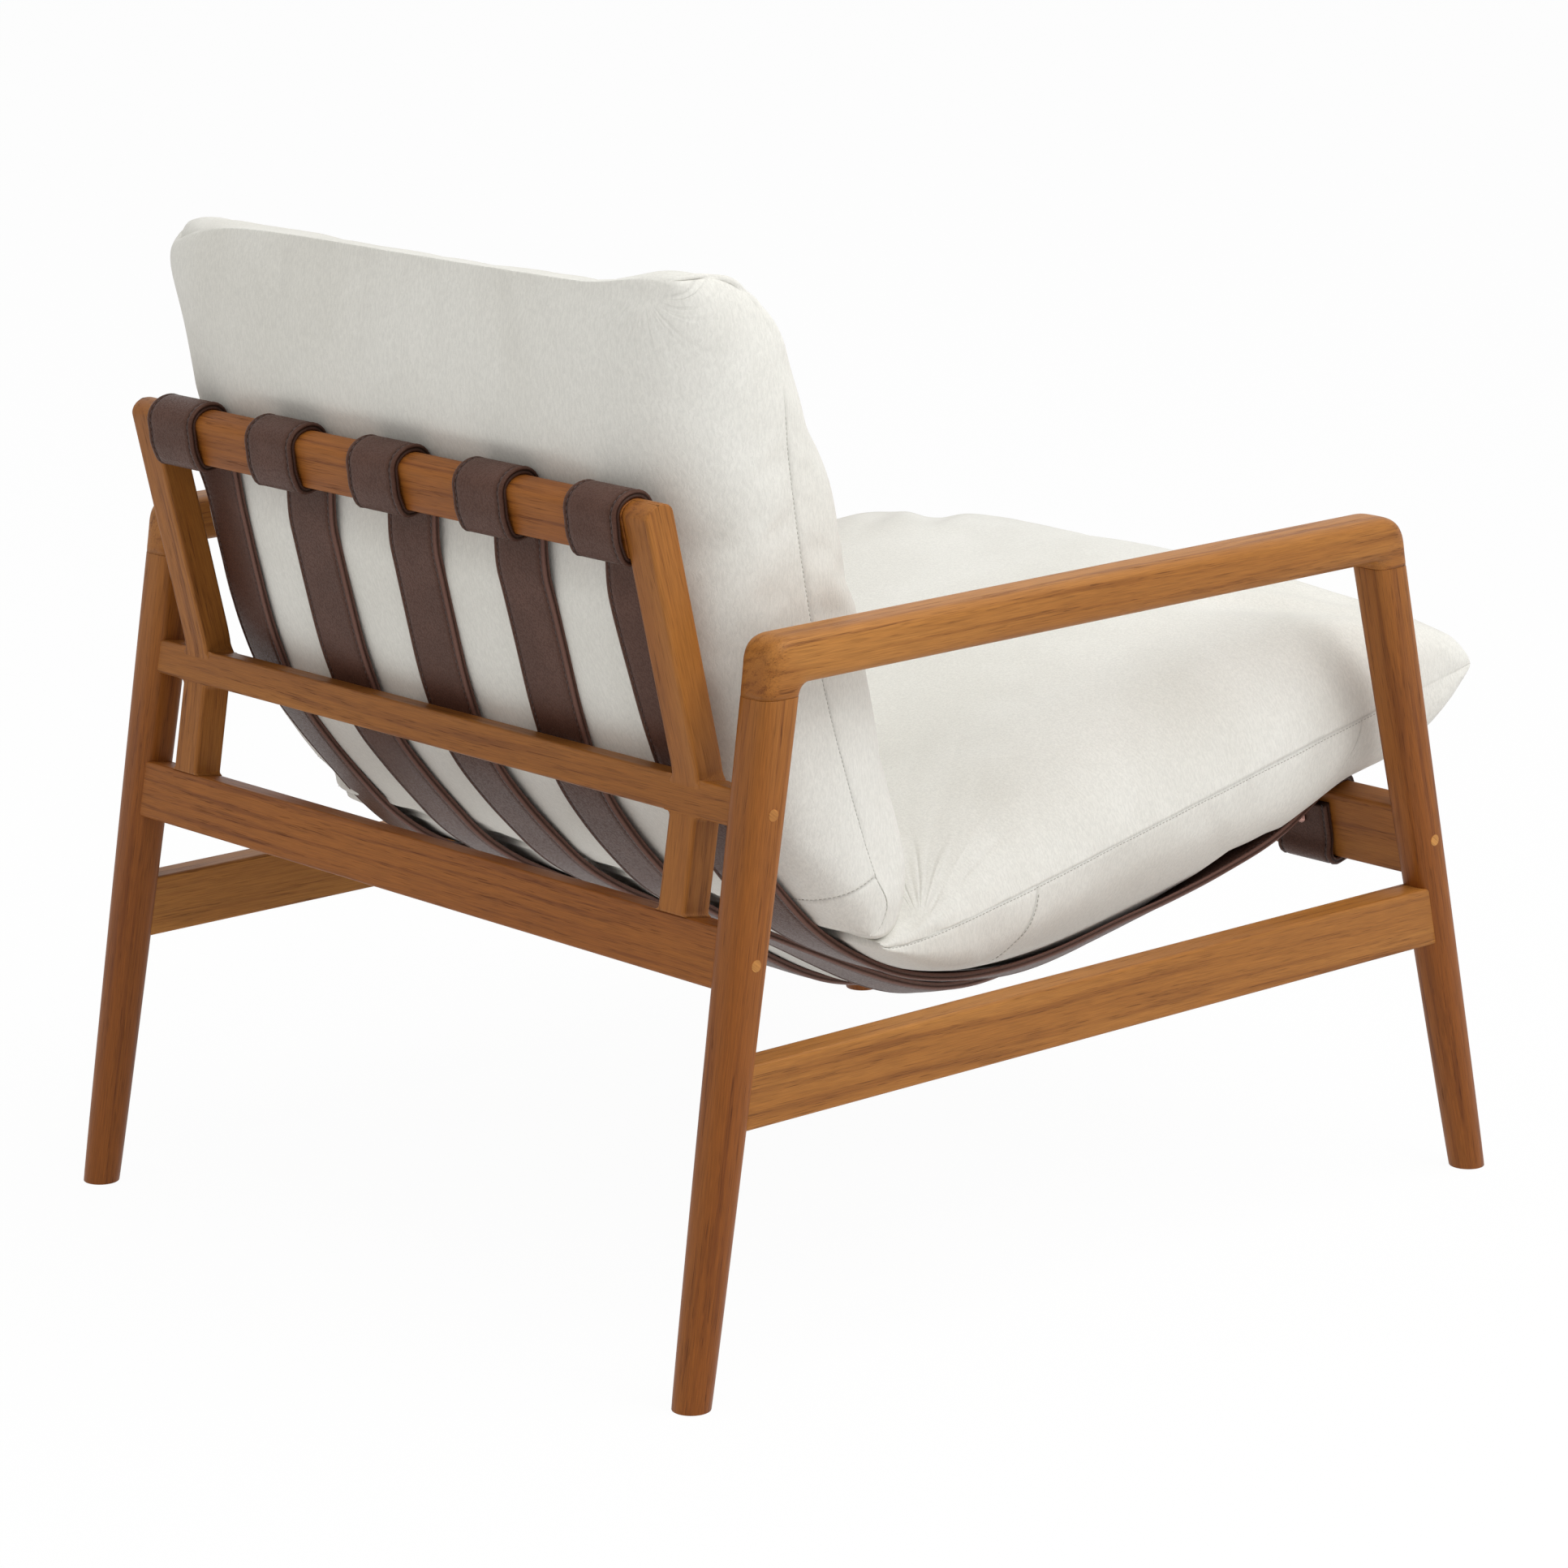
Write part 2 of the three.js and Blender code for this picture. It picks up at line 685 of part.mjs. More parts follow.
function buildSideRail(side, label) {
  const x = side * legCentreX(sideRailCentreZ);
  const rearEnd = rearLegY(sideRailCentreZ);
  const frontEnd = frontLegY(sideRailCentreZ);
  const shape = new THREE.Shape();
  const halfX = halfStock - railEdgeRadius;
  const halfZ = sideRailHeight / 2 - railEdgeRadius;
  const quarter = Math.PI / 2;
  shape.absarc(halfX, halfZ, railEdgeRadius, 0, quarter);
  shape.absarc(-halfX, halfZ, railEdgeRadius, quarter, 2 * quarter);
  shape.absarc(-halfX, -halfZ, railEdgeRadius, 2 * quarter, 3 * quarter);
  shape.absarc(halfX, -halfZ, railEdgeRadius, 3 * quarter, 4 * quarter);
  const settings = { depth: rearEnd - frontEnd, bevelEnabled: false, curveSegments: 3 };
  const body = new THREE.ExtrudeGeometry(shape, settings);
  body.rotateX(quarter);
  body.translate(x, rearEnd, sideRailCentreZ);
  let solid = toSolid(body);
  solid = solid.subtract(legSolid('rear', side, jointGap));
  solid = solid.subtract(legSolid('front', side, jointGap));
  solid = solid.add(tenonBox(side));
  addPart(`side_rail_${label}`, toGeometry(solid), teak);
}

// Armrest: sections between an outer line (back, top, front) and an inner line
function cornerPoints(corner, toward, away, radius, steps) {
  const roomShare = 0.8;
  const into = Math.min(radius, corner.distanceTo(toward) * roomShare);
  const out = Math.min(radius, corner.distanceTo(away) * roomShare);
  const enter = corner.clone().add(toward.clone().sub(corner).setLength(into));
  const leave = corner.clone().add(away.clone().sub(corner).setLength(out));
  return new THREE.QuadraticBezierCurve(enter, corner, leave).getPoints(steps);
}

function lineMeet(a, rateA, b, rateB) {
  const z = (b.x - a.x + rateA * a.y - rateB * b.y) / (rateA - rateB);
  return new THREE.Vector2(a.x + rateA * (z - a.y), z);
}

function armrestLines() {
  const half = legTopWidth / 2;
  const slope = (armRearHeight - armFrontHeight) / (rearLegY(armRearHeight) - frontLegY(armFrontHeight));
  const line = (spread) => {
    const rearFoot = new THREE.Vector2(rearLegY(rearLegTop) + spread, rearLegTop + jointGap);
    const frontFoot = new THREE.Vector2(frontLegY(frontLegTop) - spread, frontLegTop + jointGap);
    const drop = spread > 0 ? 0 : armThickness;
    const level = new THREE.Vector2(rearLegY(armRearHeight), armRearHeight - drop);
    const rearCorner = lineMeet(rearFoot, rearRakeRate, level, 1 / slope);
    const frontCorner = lineMeet(frontFoot, frontRakeRate, level, 1 / slope);
    return { rearFoot, rearCorner, frontCorner, frontFoot };
  };
  return { outer: line(half), inner: line(-half) };
}

function armrestPath(points, rearRadius, frontRadius) {
  const steps = 5;
  const spans = 3;
  const { rearFoot, rearCorner, frontCorner, frontFoot } = points;
  const rear = cornerPoints(rearCorner, rearFoot, frontCorner, rearRadius, steps);
  const front = cornerPoints(frontCorner, rearCorner, frontFoot, frontRadius, steps);
  const path = [rearFoot, ...rear];
  for (let i = 1; i < spans; i += 1) {
    path.push(rear[steps].clone().lerp(front[0], i / spans));
  }
  path.push(...front, frontFoot);
  return path;
}

function buildArmrest(side, label) {
  const { outer, inner } = armrestLines();
  const outerPath = armrestPath(outer, armRearCornerRadius, armFrontCornerRadius);
  const innerPath = armrestPath(inner, armInnerCornerRadius, armInnerCornerRadius);
  const armPower = 3.2;
  const rings = outerPath.map((high, i) => {
    const low = innerPath[i];
    const middle = high.clone().lerp(low, 1 / 2);
    const reach = high.clone().sub(middle);
    const atEnd = i === 0 || i === outerPath.length - 1;
    const halfX = (atEnd ? legTopWidth : armWidth) / 2;
    return ringAngles(armSides).map((angle) => {
      const [u, v] = squircle(angle, armPower);
      const spot = middle.clone().addScaledVector(reach, v);
      return new THREE.Vector3(side * legCentreX(spot.y) + u * halfX, spot.x, spot.y);
    });
  });
  let solid = toSolid(loft(rings));
  solid = solid.subtract(toSolid(armDowel('rear', side, jointGap)));
  solid = solid.subtract(toSolid(armDowel('front', side, jointGap)));
  addPart(`armrest_${label}`, toGeometry(solid), teak);
}

function cutByLegs(solid, kind) {
  let cut = solid;
  for (const side of [-1, 1]) {
    cut = cut.subtract(legSolid(kind, side, jointGap));
    for (const site of screwSites(side)) {
      cut = cut.subtract(screwHole(site));
    }
  }
  return cut;
}

// A cross rail reaches between the centre lines of its two legs, then is coped to them
function crossRail(frame, along, height, kind) {
  const reach = legCentreX(rakedPoint(frame, along, 0).y);
  const outline = railOutline(frame, along, height, railThickness, railEdgeRadius);
  return cutByLegs(toSolid(plateAlongX(outline, -reach, reach)), kind);
}

// Half lap: the post passes behind the upper rail's thinned half
function lapBox(side, forRail) {
  const gap = jointGap / 2;
  const half = halfStock / 2;
  const middle = side * (postInnerX + postWidth / 2);
  const spread = postWidth / 2 + jointGap;
  const w = forRail ? half + cutOverrunLength / 2 - gap / 2 : -half - cutOverrunLength / 2 + gap / 2;
  const thickness = halfStock + cutOverrunLength + gap;
  const height = forRail ? upperRailHeight + 2 * cutOverrunLength : upperRailHeight + 2 * jointGap;
  const reach = forRail ? spread : spread + cutOverrunLength;
  const box = rakedBox(rearFrame, middle - reach, middle + reach, upperRailAlongLeg, w, height, thickness);
  return toSolid(box);
}

// Dowels from the top rail's ends into the posts, and from each post's foot into the lower rail
function topDowel(side, level, grow = 0) {
  const length = railDowelLength + 2 * grow;
  const profile = rodProfile(railDowelDiameter / 2 + grow, length);
  const middleV = topRailBottom + (topRailHeight - topCrownHeight) / 2;
  const point = rakedPoint(reclineFrame, middleV + (level * railDowelSpacing) / 2, 0);
  const inPost = postWidth / 2;
  const start = new THREE.Vector3(side * (postInnerX + inPost + grow), point.x, point.y);
  return turned(profile, start, new THREE.Vector3(-side, 0, 0));
}

function footDowel(side, grow = 0) {
  const profile = rodProfile(railDowelDiameter / 2 + grow, railDowelLength + 2 * grow);
  const point = rakedPoint(rearFrame, lowerRailTop - railDowelLength / 2 - grow, 0);
  const start = new THREE.Vector3(side * (postInnerX + postWidth / 2), point.x, point.y);
  return turned(profile, start, new THREE.Vector3(0, rearFrame.along.x, rearFrame.along.y));
}

function buildPost(side, label) {
  const low = side > 0 ? postInnerX : -postInnerX - postWidth;
  let solid = toSolid(plateAlongX(postOutline(), low, low + postWidth, railEdgeRadius));
  solid = solid.subtract(lapBox(side, false));
  for (const level of [-1, 1]) {
    solid = solid.subtract(toSolid(topDowel(side, level, jointGap)));
  }
  solid = solid.subtract(toSolid(footDowel(side, jointGap)));
  addPart(`back_post_${label}`, toGeometry(solid), teak);
}

function buildRearRails() {
  let lower = crossRail(rearFrame, lowerRailAlongLeg, lowerRailHeight, 'rear');
  let upper = crossRail(rearFrame, upperRailAlongLeg, upperRailHeight, 'rear');
  for (const side of [-1, 1]) {
    lower = lower.subtract(toSolid(footDowel(side, jointGap)));
    upper = upper.subtract(lapBox(side, true));
  }
  addPart('lower_rear_rail', toGeometry(lower), teak);
  addPart('upper_rear_rail', toGeometry(upper), teak);
}

function buildTopRail() {
  const quarter = Math.PI / 2;
  const cornerV = topRailBottom + topRailCornerRadius;
  const cornerW = halfStock - topRailCornerRadius;
  const outline = [
    ...crownArc(0, crownSteps),
    ...cornerTurn(reclineFrame, cornerV, -cornerW, topRailCornerRadius, 2 * quarter, 3 * quarter),
    ...cornerTurn(reclineFrame, cornerV, cornerW, topRailCornerRadius, 3 * quarter, 4 * quarter),
  ];
  const reach = postInnerX - jointGap;
  let solid = toSolid(plateAlongX(outline, -reach, reach));
  for (const side of [-1, 1]) {
    for (const level of [-1, 1]) {
      solid = solid.subtract(toSolid(topDowel(side, level, jointGap)));
    }
  }
  addPart('top_rail', toGeometry(solid), teak);
}

function strapCentres() {
  return Array.from({ length: strapCount }, (_, i) => (i - (strapCount - 1) / 2) * strapPitch);
}

function buildStraps() {
  let rail = crossRail(frontFrame, frontRailAlongLeg, frontRailHeight, 'front');
  strapCentres().forEach((x, i) => {
    const holes = snapHoles(x);
    const [low, high] = [x - strapWidth / 2, x + strapWidth / 2];
    const plate = plateBetween(strapOutline(low), low, strapOutline(high), high);
    const strap = toSolid(plate).subtract(holes.flap);
    rail = rail.subtract(holes.rail);
    addPart(`strap_${i + 1}`, toGeometry(strap), leather);
    addPart(`snap_stud_${i + 1}`, snapStud(x), steel);
    addPart(`snap_cap_${i + 1}`, snapCap(x), copper);
  });
  addPart('front_rail', toGeometry(rail), teak);
}

// Cushion skins: a stack of boxed rings, each running round the sides and over both faces.
// Every ring point has a reach across (-1 to 1) and a rise out of the ring's middle line.
function cushionRing(place, powers) {
  return ringAngles(cushionSides).map((angle) => {
    const upper = Math.sin(angle) > 0;
    const [across, rise] = squircle(angle, upper ? powers.face : powers.rest);
    return place(across, rise);
  });
}

// Ring positions crowd towards both ends, where the skin turns in; extra ones sit at hard edges
function ringShares(extraShares = []) {
  const even = Array.from({ length: cushionRings }, (_, i) => {
    return (1 - Math.cos((i / (cushionRings - 1)) * Math.PI)) / 2;
  });
  return even.concat(extraShares).sort((a, b) => a - b);
}

// The sides are drawn in between the corners, and the end seams pull the last rings in a little
function cushionHalfWidth(halfWidth, share) {
  const earPower = 4;
  const endPower = 16;
  const fromMiddle = Math.abs(2 * share - 1);
  const endDraw = cushionEdgeHeight - jointGap;
  return halfWidth + cushionEarWidth * fromMiddle ** earPower - endDraw * fromMiddle ** endPower;
}

// Corners reach out past the end seams
function cornerPull(across, share) {
  const cornerPower = 6;
  const endPower = 12;
  return cornerReachLength * Math.abs(across) ** cornerPower * share ** endPower;
}

// Underside of the seat cushion: on the straps, then free beyond the front rail
function seatFloor(x, y) {
  const edge = seatRest.at(-1);
  if (y > edge.x) {
    return restHeightAt(x, y);
  }
  const risePower = 1.5;
  const past = (edge.x - y) / (edge.x - seatFrontY);
  const free = THREE.MathUtils.lerp(edge.y, seatFrontZ - cushionEdgeHeight, past ** risePower);
  const overRail = edge.y + restGap + (edge.x - y) * frontRakeRate;
  return Math.max(free, overRail);
}

// The side seam dips where the back cushion presses on the seat
function seatSeamZ(share) {
  const dipPower = 0.4;
  const line = THREE.MathUtils.lerp(seatRearZ, seatFrontZ, share);
  return line - seatSeamDipDepth * Math.sin(Math.PI * share ** dipPower);
}

// Crown of the seat: rising all the way forward, then rolling over at the front edge
function seatFullness(share) {
  const [risePower, rollPower, rollRound] = [0.85, 6, 0.7];
  return share ** risePower * (1 - share ** rollPower) ** rollRound;
}

function buildSeatCushion() {
  const railRearY = seatRest.at(-1).x;
  const railEdges = [railRearY, railRearY - railThickness];
  const railShares = railEdges.map((y) => (seatRearY - y) / (seatRearY - seatFrontY));
  const rings = ringShares(railShares).map((share) => {
    const y = THREE.MathUtils.lerp(seatRearY, seatFrontY, share);
    const middle = seatSeamZ(share);
    const rise = Math.max(seatCrownHeight * seatFullness(share), cushionEdgeHeight);
    const place = (across, up) => {
      const x = across * cushionHalfWidth(seatHalfWidth, share);
      const fall = Math.max(middle - seatFloor(x, y), cushionEdgeBelowHeight);
      const z = middle + up * (up > 0 ? rise : fall);
      return new THREE.Vector3(x, y - cornerPull(across, share), z);
    };
    return cushionRing(place, { face: 2.8, rest: 6 });
  });
  addPart('seat_cushion', loft(rings), cloth);
}

// The back cushion leans on the straps, and above them carries on at the rail's own lean
function backFloor(z) {
  const aboveRailLean = 0.109;
  const highest = backRest[0].y;
  return restDepthAt(Math.min(z, highest)) + Math.max(z - highest, 0) * aboveRailLean;
}

// Fullness of the back: a bag with blunt, rounded ends
function backFullness(share) {
  const [endPower, endRound] = [2.2, 0.25];
  return Math.max(1 - Math.abs(2 * share - 1) ** endPower, 0) ** endRound;
}

function buildBackCushion() {
  const rings = ringShares().map((share) => {
    const z = THREE.MathUtils.lerp(backBottomZ, backTopZ, share);
    const middle = THREE.MathUtils.lerp(backBottomY, backTopY, share);
    const rise = Math.max(backCrownDepth * backFullness(share), cushionEdgeHeight);
    const fall = Math.max(backFloor(z) - middle, cushionEdgeBelowHeight);
    const place = (across, forward) => {
      const x = across * cushionHalfWidth(backHalfWidth, share);
      const y = middle - forward * (forward > 0 ? rise : fall);
      return new THREE.Vector3(x, y, z + cornerPull(across, share));
    };
    return cushionRing(place, { face: 6, rest: 5 });
  });
  addPart('back_cushion', loft(rings), cloth);
}

for (const [side, label] of [[-1, 'left'], [1, 'right']]) {
  buildLeg('rear', side, label);
  buildLeg('front', side, label);
  buildSideRail(side, label);
  buildArmrest(side, label);
  buildPost(side, label);
  for (const site of screwSites(side)) {
    addPart(`screw_${site.name}_${label}`, screw(site), steel);
    addPart(`plug_${site.name}_${label}`, toGeometry(plug(site, side)), teakPale);
  }
  addPart(`arm_dowel_rear_${label}`, armDowel('rear', side), beech);
  addPart(`arm_dowel_front_${label}`, armDowel('front', side), beech);
  addPart(`top_rail_dowel_low_${label}`, topDowel(side, -1), beech);
  addPart(`top_rail_dowel_high_${label}`, topDowel(side, 1), beech);
  addPart(`post_dowel_${label}`, footDowel(side), beech);
}
buildRearRails();
buildTopRail();
buildStraps();
buildSeatCushion();
buildBackCushion();

// Stand the origin under the middle of the whole chair
const reach = new THREE.Box3().setFromObject(chair);
chair.position.y = -(reach.min.y + reach.max.y) / 2;

export default chair;
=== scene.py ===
import math
import bpy
import numpy as np
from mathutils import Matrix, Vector


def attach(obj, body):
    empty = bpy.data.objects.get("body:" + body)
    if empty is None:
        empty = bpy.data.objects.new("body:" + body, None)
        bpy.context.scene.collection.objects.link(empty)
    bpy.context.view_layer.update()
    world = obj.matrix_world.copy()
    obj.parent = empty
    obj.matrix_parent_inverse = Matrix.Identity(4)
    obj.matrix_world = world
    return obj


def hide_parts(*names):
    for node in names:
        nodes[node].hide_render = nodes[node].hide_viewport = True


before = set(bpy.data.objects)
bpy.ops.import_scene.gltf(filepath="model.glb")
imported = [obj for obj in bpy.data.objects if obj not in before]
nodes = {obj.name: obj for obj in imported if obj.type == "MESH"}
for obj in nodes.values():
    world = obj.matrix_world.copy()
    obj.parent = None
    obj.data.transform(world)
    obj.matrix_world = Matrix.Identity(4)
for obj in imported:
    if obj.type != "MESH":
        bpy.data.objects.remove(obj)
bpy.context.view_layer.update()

metres = 0.001
quarter = math.pi / 2
sideSigns = {"left": -1, "right": 1}
print("frame loaded:", len(nodes), "nodes")


def addObject(name, data, place=None, target=None):
    # An object in the scene, set at a place and facing a target where these are given
    made = bpy.data.objects.new(name, data)
    bpy.context.scene.collection.objects.link(made)
    if place is not None:
        made.location = place
        made.rotation_mode = "QUATERNION"
        made.rotation_quaternion = (target - place).to_track_quat("-Z", "Y")
    return made


# Camera at the photograph's angle
cameraSetup = {
    "azimuth": 227.5, "elevation": 13.7, "target": (0.0, 11.3, 327.9), "distance": 4307.8,
    "lens": 122.84, "sensor": 36.0, "clip": (0.1, 60.0),
}
turn = math.radians(cameraSetup["azimuth"])
lift = math.radians(cameraSetup["elevation"])
back = Vector((math.sin(turn) * math.cos(lift), -math.cos(turn) * math.cos(lift), math.sin(lift)))
cameraData = bpy.data.cameras.new("camera")
cameraData.lens = cameraSetup["lens"]
cameraData.sensor_width = cameraSetup["sensor"]
cameraData.clip_start, cameraData.clip_end = cameraSetup["clip"]
target = Vector(cameraSetup["target"])
cameraPlace = (target + back * cameraSetup["distance"]) * metres
bpy.context.scene.camera = addObject("camera", cameraData, cameraPlace, target * metres)
print("camera placed")


# Curves and small sums

def lengthAlong(line):
    return np.r_[0.0, np.cumsum(np.linalg.norm(np.diff(line, axis=0), axis=1))]


def sample(at, length, points):
    # Points read off between their rows, at places along a length
    return np.stack([np.interp(at, length, column) for column in points.T], axis=-1)


def evenly(line, count):
    # The same line with its points spaced evenly along its length
    length = lengthAlong(line)
    return sample(np.linspace(0.0, length[-1], count), length, line)


def curveThrough(points, count):
    # Cubic Hermite pieces through the points, each tangent from its two neighbours by
    # chord length, then spaced evenly
    p = np.asarray(points, float)
    chord = lengthAlong(p)
    slope = np.gradient(p, chord, axis=0)
    t = np.linspace(0.0, chord[-1], 24 * len(p))
    i = np.clip(np.searchsorted(chord, t, side="right") - 1, 0, len(p) - 2)
    span = (chord[i + 1] - chord[i])[:, None]
    s = (t - chord[i])[:, None] / span
    fine = ((2 * s**3 - 3 * s**2 + 1) * p[i] + (s**3 - 2 * s**2 + s) * span * slope[i]
            + (3 * s**2 - 2 * s**3) * p[i + 1] + (s**3 - s**2) * span * slope[i + 1])
    return evenly(fine, count)


def cornerCurve(enter, corner, leave, steps):
    # A quadratic curve that turns past a corner
    t = np.linspace(0, 1, steps)[:, None]
    return (1 - t) ** 2 * enter + 2 * t * (1 - t) * corner + t**2 * leave


def mix(a, b, t):
    return a + (b - a) * t


def smoothStep(x):
    x = np.clip(x, 0.0, 1.0)
    return x * x * (3 - 2 * x)


def bell(x, wide):
    # 1 at zero, falling off softly to both sides
    return np.exp(-((x / wide) ** 2))


def unit(v):
    return v / np.maximum(np.linalg.norm(v, axis=-1, keepdims=True), 1e-9)


def squaredCircle(angle, power):
    # x = sign(cos a)|cos a|^(2/power), y likewise with sin: 2 is round, more is squarer
    c, s = np.cos(angle), np.sin(angle)
    return np.sign(c) * np.abs(c) ** (2 / power), np.sign(s) * np.abs(s) ** (2 / power)


# Meshes

def gridQuads(index):
    # Quads between the rows and columns of a grid of point numbers
    return np.stack([index[:-1, :-1], index[:-1, 1:], index[1:, 1:], index[1:, :-1]], axis=-1).reshape(-1, 4)


def ringQuads(rings, around):
    # Quads between closed rings of points
    index = np.arange(rings * around).reshape(rings, around)
    return gridQuads(np.hstack([index, index[:, :1]]))


def halved(quads):
    return np.vstack([quads[:, [0, 1, 2]], quads[:, [0, 2, 3]]])


def insideOut(points, triangles):
    # True where a closed skin's signed volume is negative
    p, q, w = (points[triangles[:, k]] for k in range(3))
    return np.einsum("ij,ij->i", p, np.cross(q, w)).sum() < 0


def closeTube(grid):
    # Rings x places round them x 3 into a closed solid: quads between the rings, and a fan
    # round the middle of each end
    rings, around = grid.shape[:2]
    points = np.vstack([grid.reshape(-1, 3), grid[0].mean(0)[None], grid[-1].mean(0)[None]])
    quads = ringQuads(rings, around)
    here = np.arange(around)
    after, last, middle = (here + 1) % around, (rings - 1) * around, np.full(around, rings * around)
    fans = np.vstack([np.stack([after, here, middle], axis=1),
                      np.stack([last + here, last + after, middle + 1], axis=1)])
    if insideOut(points, np.vstack([halved(quads), fans])):
        quads, fans = quads[:, ::-1], fans[:, ::-1]
    return points, quads.tolist() + fans.tolist()


def makePiece(name, points, faces, material, slot, body, replaced=(), **masks):
    # masks: attributes that the material reads, one value or one vector for each point
    mesh = bpy.data.meshes.new(name)
    mesh.from_pydata((points * metres).tolist(), [], faces)
    mesh.polygons.foreach_set("use_smooth", np.ones(len(mesh.polygons), bool))
    for key, mask in masks.items():
        if np.ndim(mask) == 2:
            mesh.attributes.new(key, "FLOAT_VECTOR", "POINT").data.foreach_set("vector", mask.ravel())
        else:
            values = np.broadcast_to(mask, len(points)).astype(float)
            mesh.attributes.new(key, "FLOAT", "POINT").data.foreach_set("value", values)
    mesh.materials.append(material)
    mesh.update()
    piece = addObject(name, mesh)
    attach(piece, body)
    if replaced:
        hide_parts(*replaced)
    return piece


def grainAlong(points, along, seed):
    # Place in the log: across, across and along the grain, each board from its own spot
    along = unit(np.asarray(along, float))
    first = unit(np.cross(along, [0.31, 0.22, 0.93]))
    second = np.cross(along, first)
    rng = np.random.default_rng(seed)
    angle = rng.uniform(0, 2 * math.pi)
    one = first * math.cos(angle) + second * math.sin(angle)
    turned = points @ np.stack([one, np.cross(along, one), along], axis=1)
    return (turned + rng.uniform(-900, 900, 3)) * metres


def woodPiece(node, grid, along, seed, tone, board=None, finish=None, slot="teak"):
    # tone: 0 for a dark red board, 1 for a pale golden one, one value or one for each point; on the legs and
    # the armrest ends it also carries painted shade
    # board: a bent piece's points as they lie in the straight board it is made from
    points, faces = closeTube(grid)
    grain = grainAlong(points if board is None else closeTube(board)[0], along, seed)
    start, label = node.rpartition("_")[::2]
    name = f"{start}_wood_{label}" if label in sideSigns else node + "_wood"
    makePiece(name, points, faces, finish or teak, slot, "frame", [node], grain=grain, tone=tone)


# Node trees

def feed(tree, socket, value):
    # A link where the value is a node's output, else the socket's own value
    if isinstance(value, bpy.types.NodeSocket):
        tree.links.new(value, socket)
    else:
        socket.default_value = value


def addNode(tree, kind, settings=None, **inputs):
    # Inputs go by name, or by number as in0, in1
    made = tree.nodes.new(kind)
    for key, value in (settings or {}).items():
        setattr(made, key, value)
    for key, value in inputs.items():
        feed(tree, made.inputs[int(key[2:]) if key.startswith("in") else key], value)
    return made


def objectPlace(tree):
    return addNode(tree, "ShaderNodeTexCoord").outputs["Object"]


def maths(tree, operation, a, b=0.0, clamp=False):
    settings = {"operation": operation, "use_clamp": clamp}
    return addNode(tree, "ShaderNodeMath", settings, in0=a, in1=b).outputs[0]


def scaled(tree, vector, scale):
    return addNode(tree, "ShaderNodeVectorMath", {"operation": "MULTIPLY"}, in0=vector, in1=scale).outputs[0]


def warped(tree, place, by, amount):
    # A place pushed about by a noise
    made = addNode(tree, "ShaderNodeVectorMath", {"operation": "MULTIPLY_ADD"}, in0=by, in1=amount, in2=place)
    return made.outputs[0]


def noise(tree, vector, scale, detail=2.0, rough=0.5):
    return addNode(tree, "ShaderNodeTexNoise", Vector=vector, Scale=scale, Detail=detail,
                   Roughness=rough).outputs["Fac"]


def between(tree, value, low, high, toLow=0.0, toHigh=1.0):
    limits = {"From Min": low, "From Max": high, "To Min": toLow, "To Max": toHigh}
    made = addNode(tree, "ShaderNodeMapRange", {"interpolation_type": "SMOOTHSTEP"}, Value=value, **limits)
    return made.outputs["Result"]


def blendColour(tree, factor, a, b, kind="MIX"):
    settings = {"data_type": "RGBA", "blend_type": kind}
    return addNode(tree, "ShaderNodeMix", settings, in0=factor, in6=a, in7=b).outputs[2]


def shaded(tree, colour, shade):
    grey = addNode(tree, "ShaderNodeCombineColor", Red=shade, Green=shade, Blue=shade).outputs[0]
    return blendColour(tree, 1.0, colour, grey, "MULTIPLY")


def startGroup(name, vectors, colours, numbers):
    # A node group with the named inputs that gives a colour, a roughness and a height
    tree = bpy.data.node_groups.new(name, "ShaderNodeTree")
    for way, kind, labels in (("INPUT", "Vector", vectors), ("INPUT", "Color", colours),
                              ("INPUT", "Float", numbers), ("OUTPUT", "Color", ["Color"]),
                              ("OUTPUT", "Float", ["Roughness", "Height"])):
        for label in labels:
            tree.interface.new_socket(name=label, in_out=way, socket_type="NodeSocket" + kind)
    return tree, tree.nodes.new("NodeGroupInput").outputs


def endGroup(tree, colour, roughness, height):
    addNode(tree, "NodeGroupOutput", Color=colour, Roughness=roughness, Height=height)
    return tree


def startMaterial(name):
    material = bpy.data.materials.new(name)
    material.use_nodes = True
    tree = material.node_tree
    return material, tree, tree.nodes["Principled BSDF"]


def bumped(tree, shader, height, distance, strength):
    made = addNode(tree, "ShaderNodeBump", Height=height, Distance=distance, Strength=strength)
    tree.links.new(made.outputs["Normal"], shader.inputs["Normal"])


def dress(name, group, own, bump, **inputs):
    # A material that wears a node group. The shader's own constants are set on it, and an
    # input given as a name reads that attribute, or the object's own places.
    material, tree, shader = startMaterial(name)
    made = addNode(tree, "ShaderNodeGroup", {"node_tree": group})
    for key, value in inputs.items():
        socket = made.inputs[key]
        if value == "object":
            value = objectPlace(tree)
        elif isinstance(value, str):
            outputs = addNode(tree, "ShaderNodeAttribute", {"attribute_name": value}).outputs
            value = outputs["Vector" if socket.type == "VECTOR" else "Fac"]
        feed(tree, socket, value)
    feed(tree, shader.inputs["Base Color"], made.outputs["Color"])
    feed(tree, shader.inputs["Roughness"], made.outputs["Roughness"])
    for key, value in own.items():
        shader.inputs[key].default_value = value
    bumped(tree, shader, made.outputs["Height"], *bump)
    return material


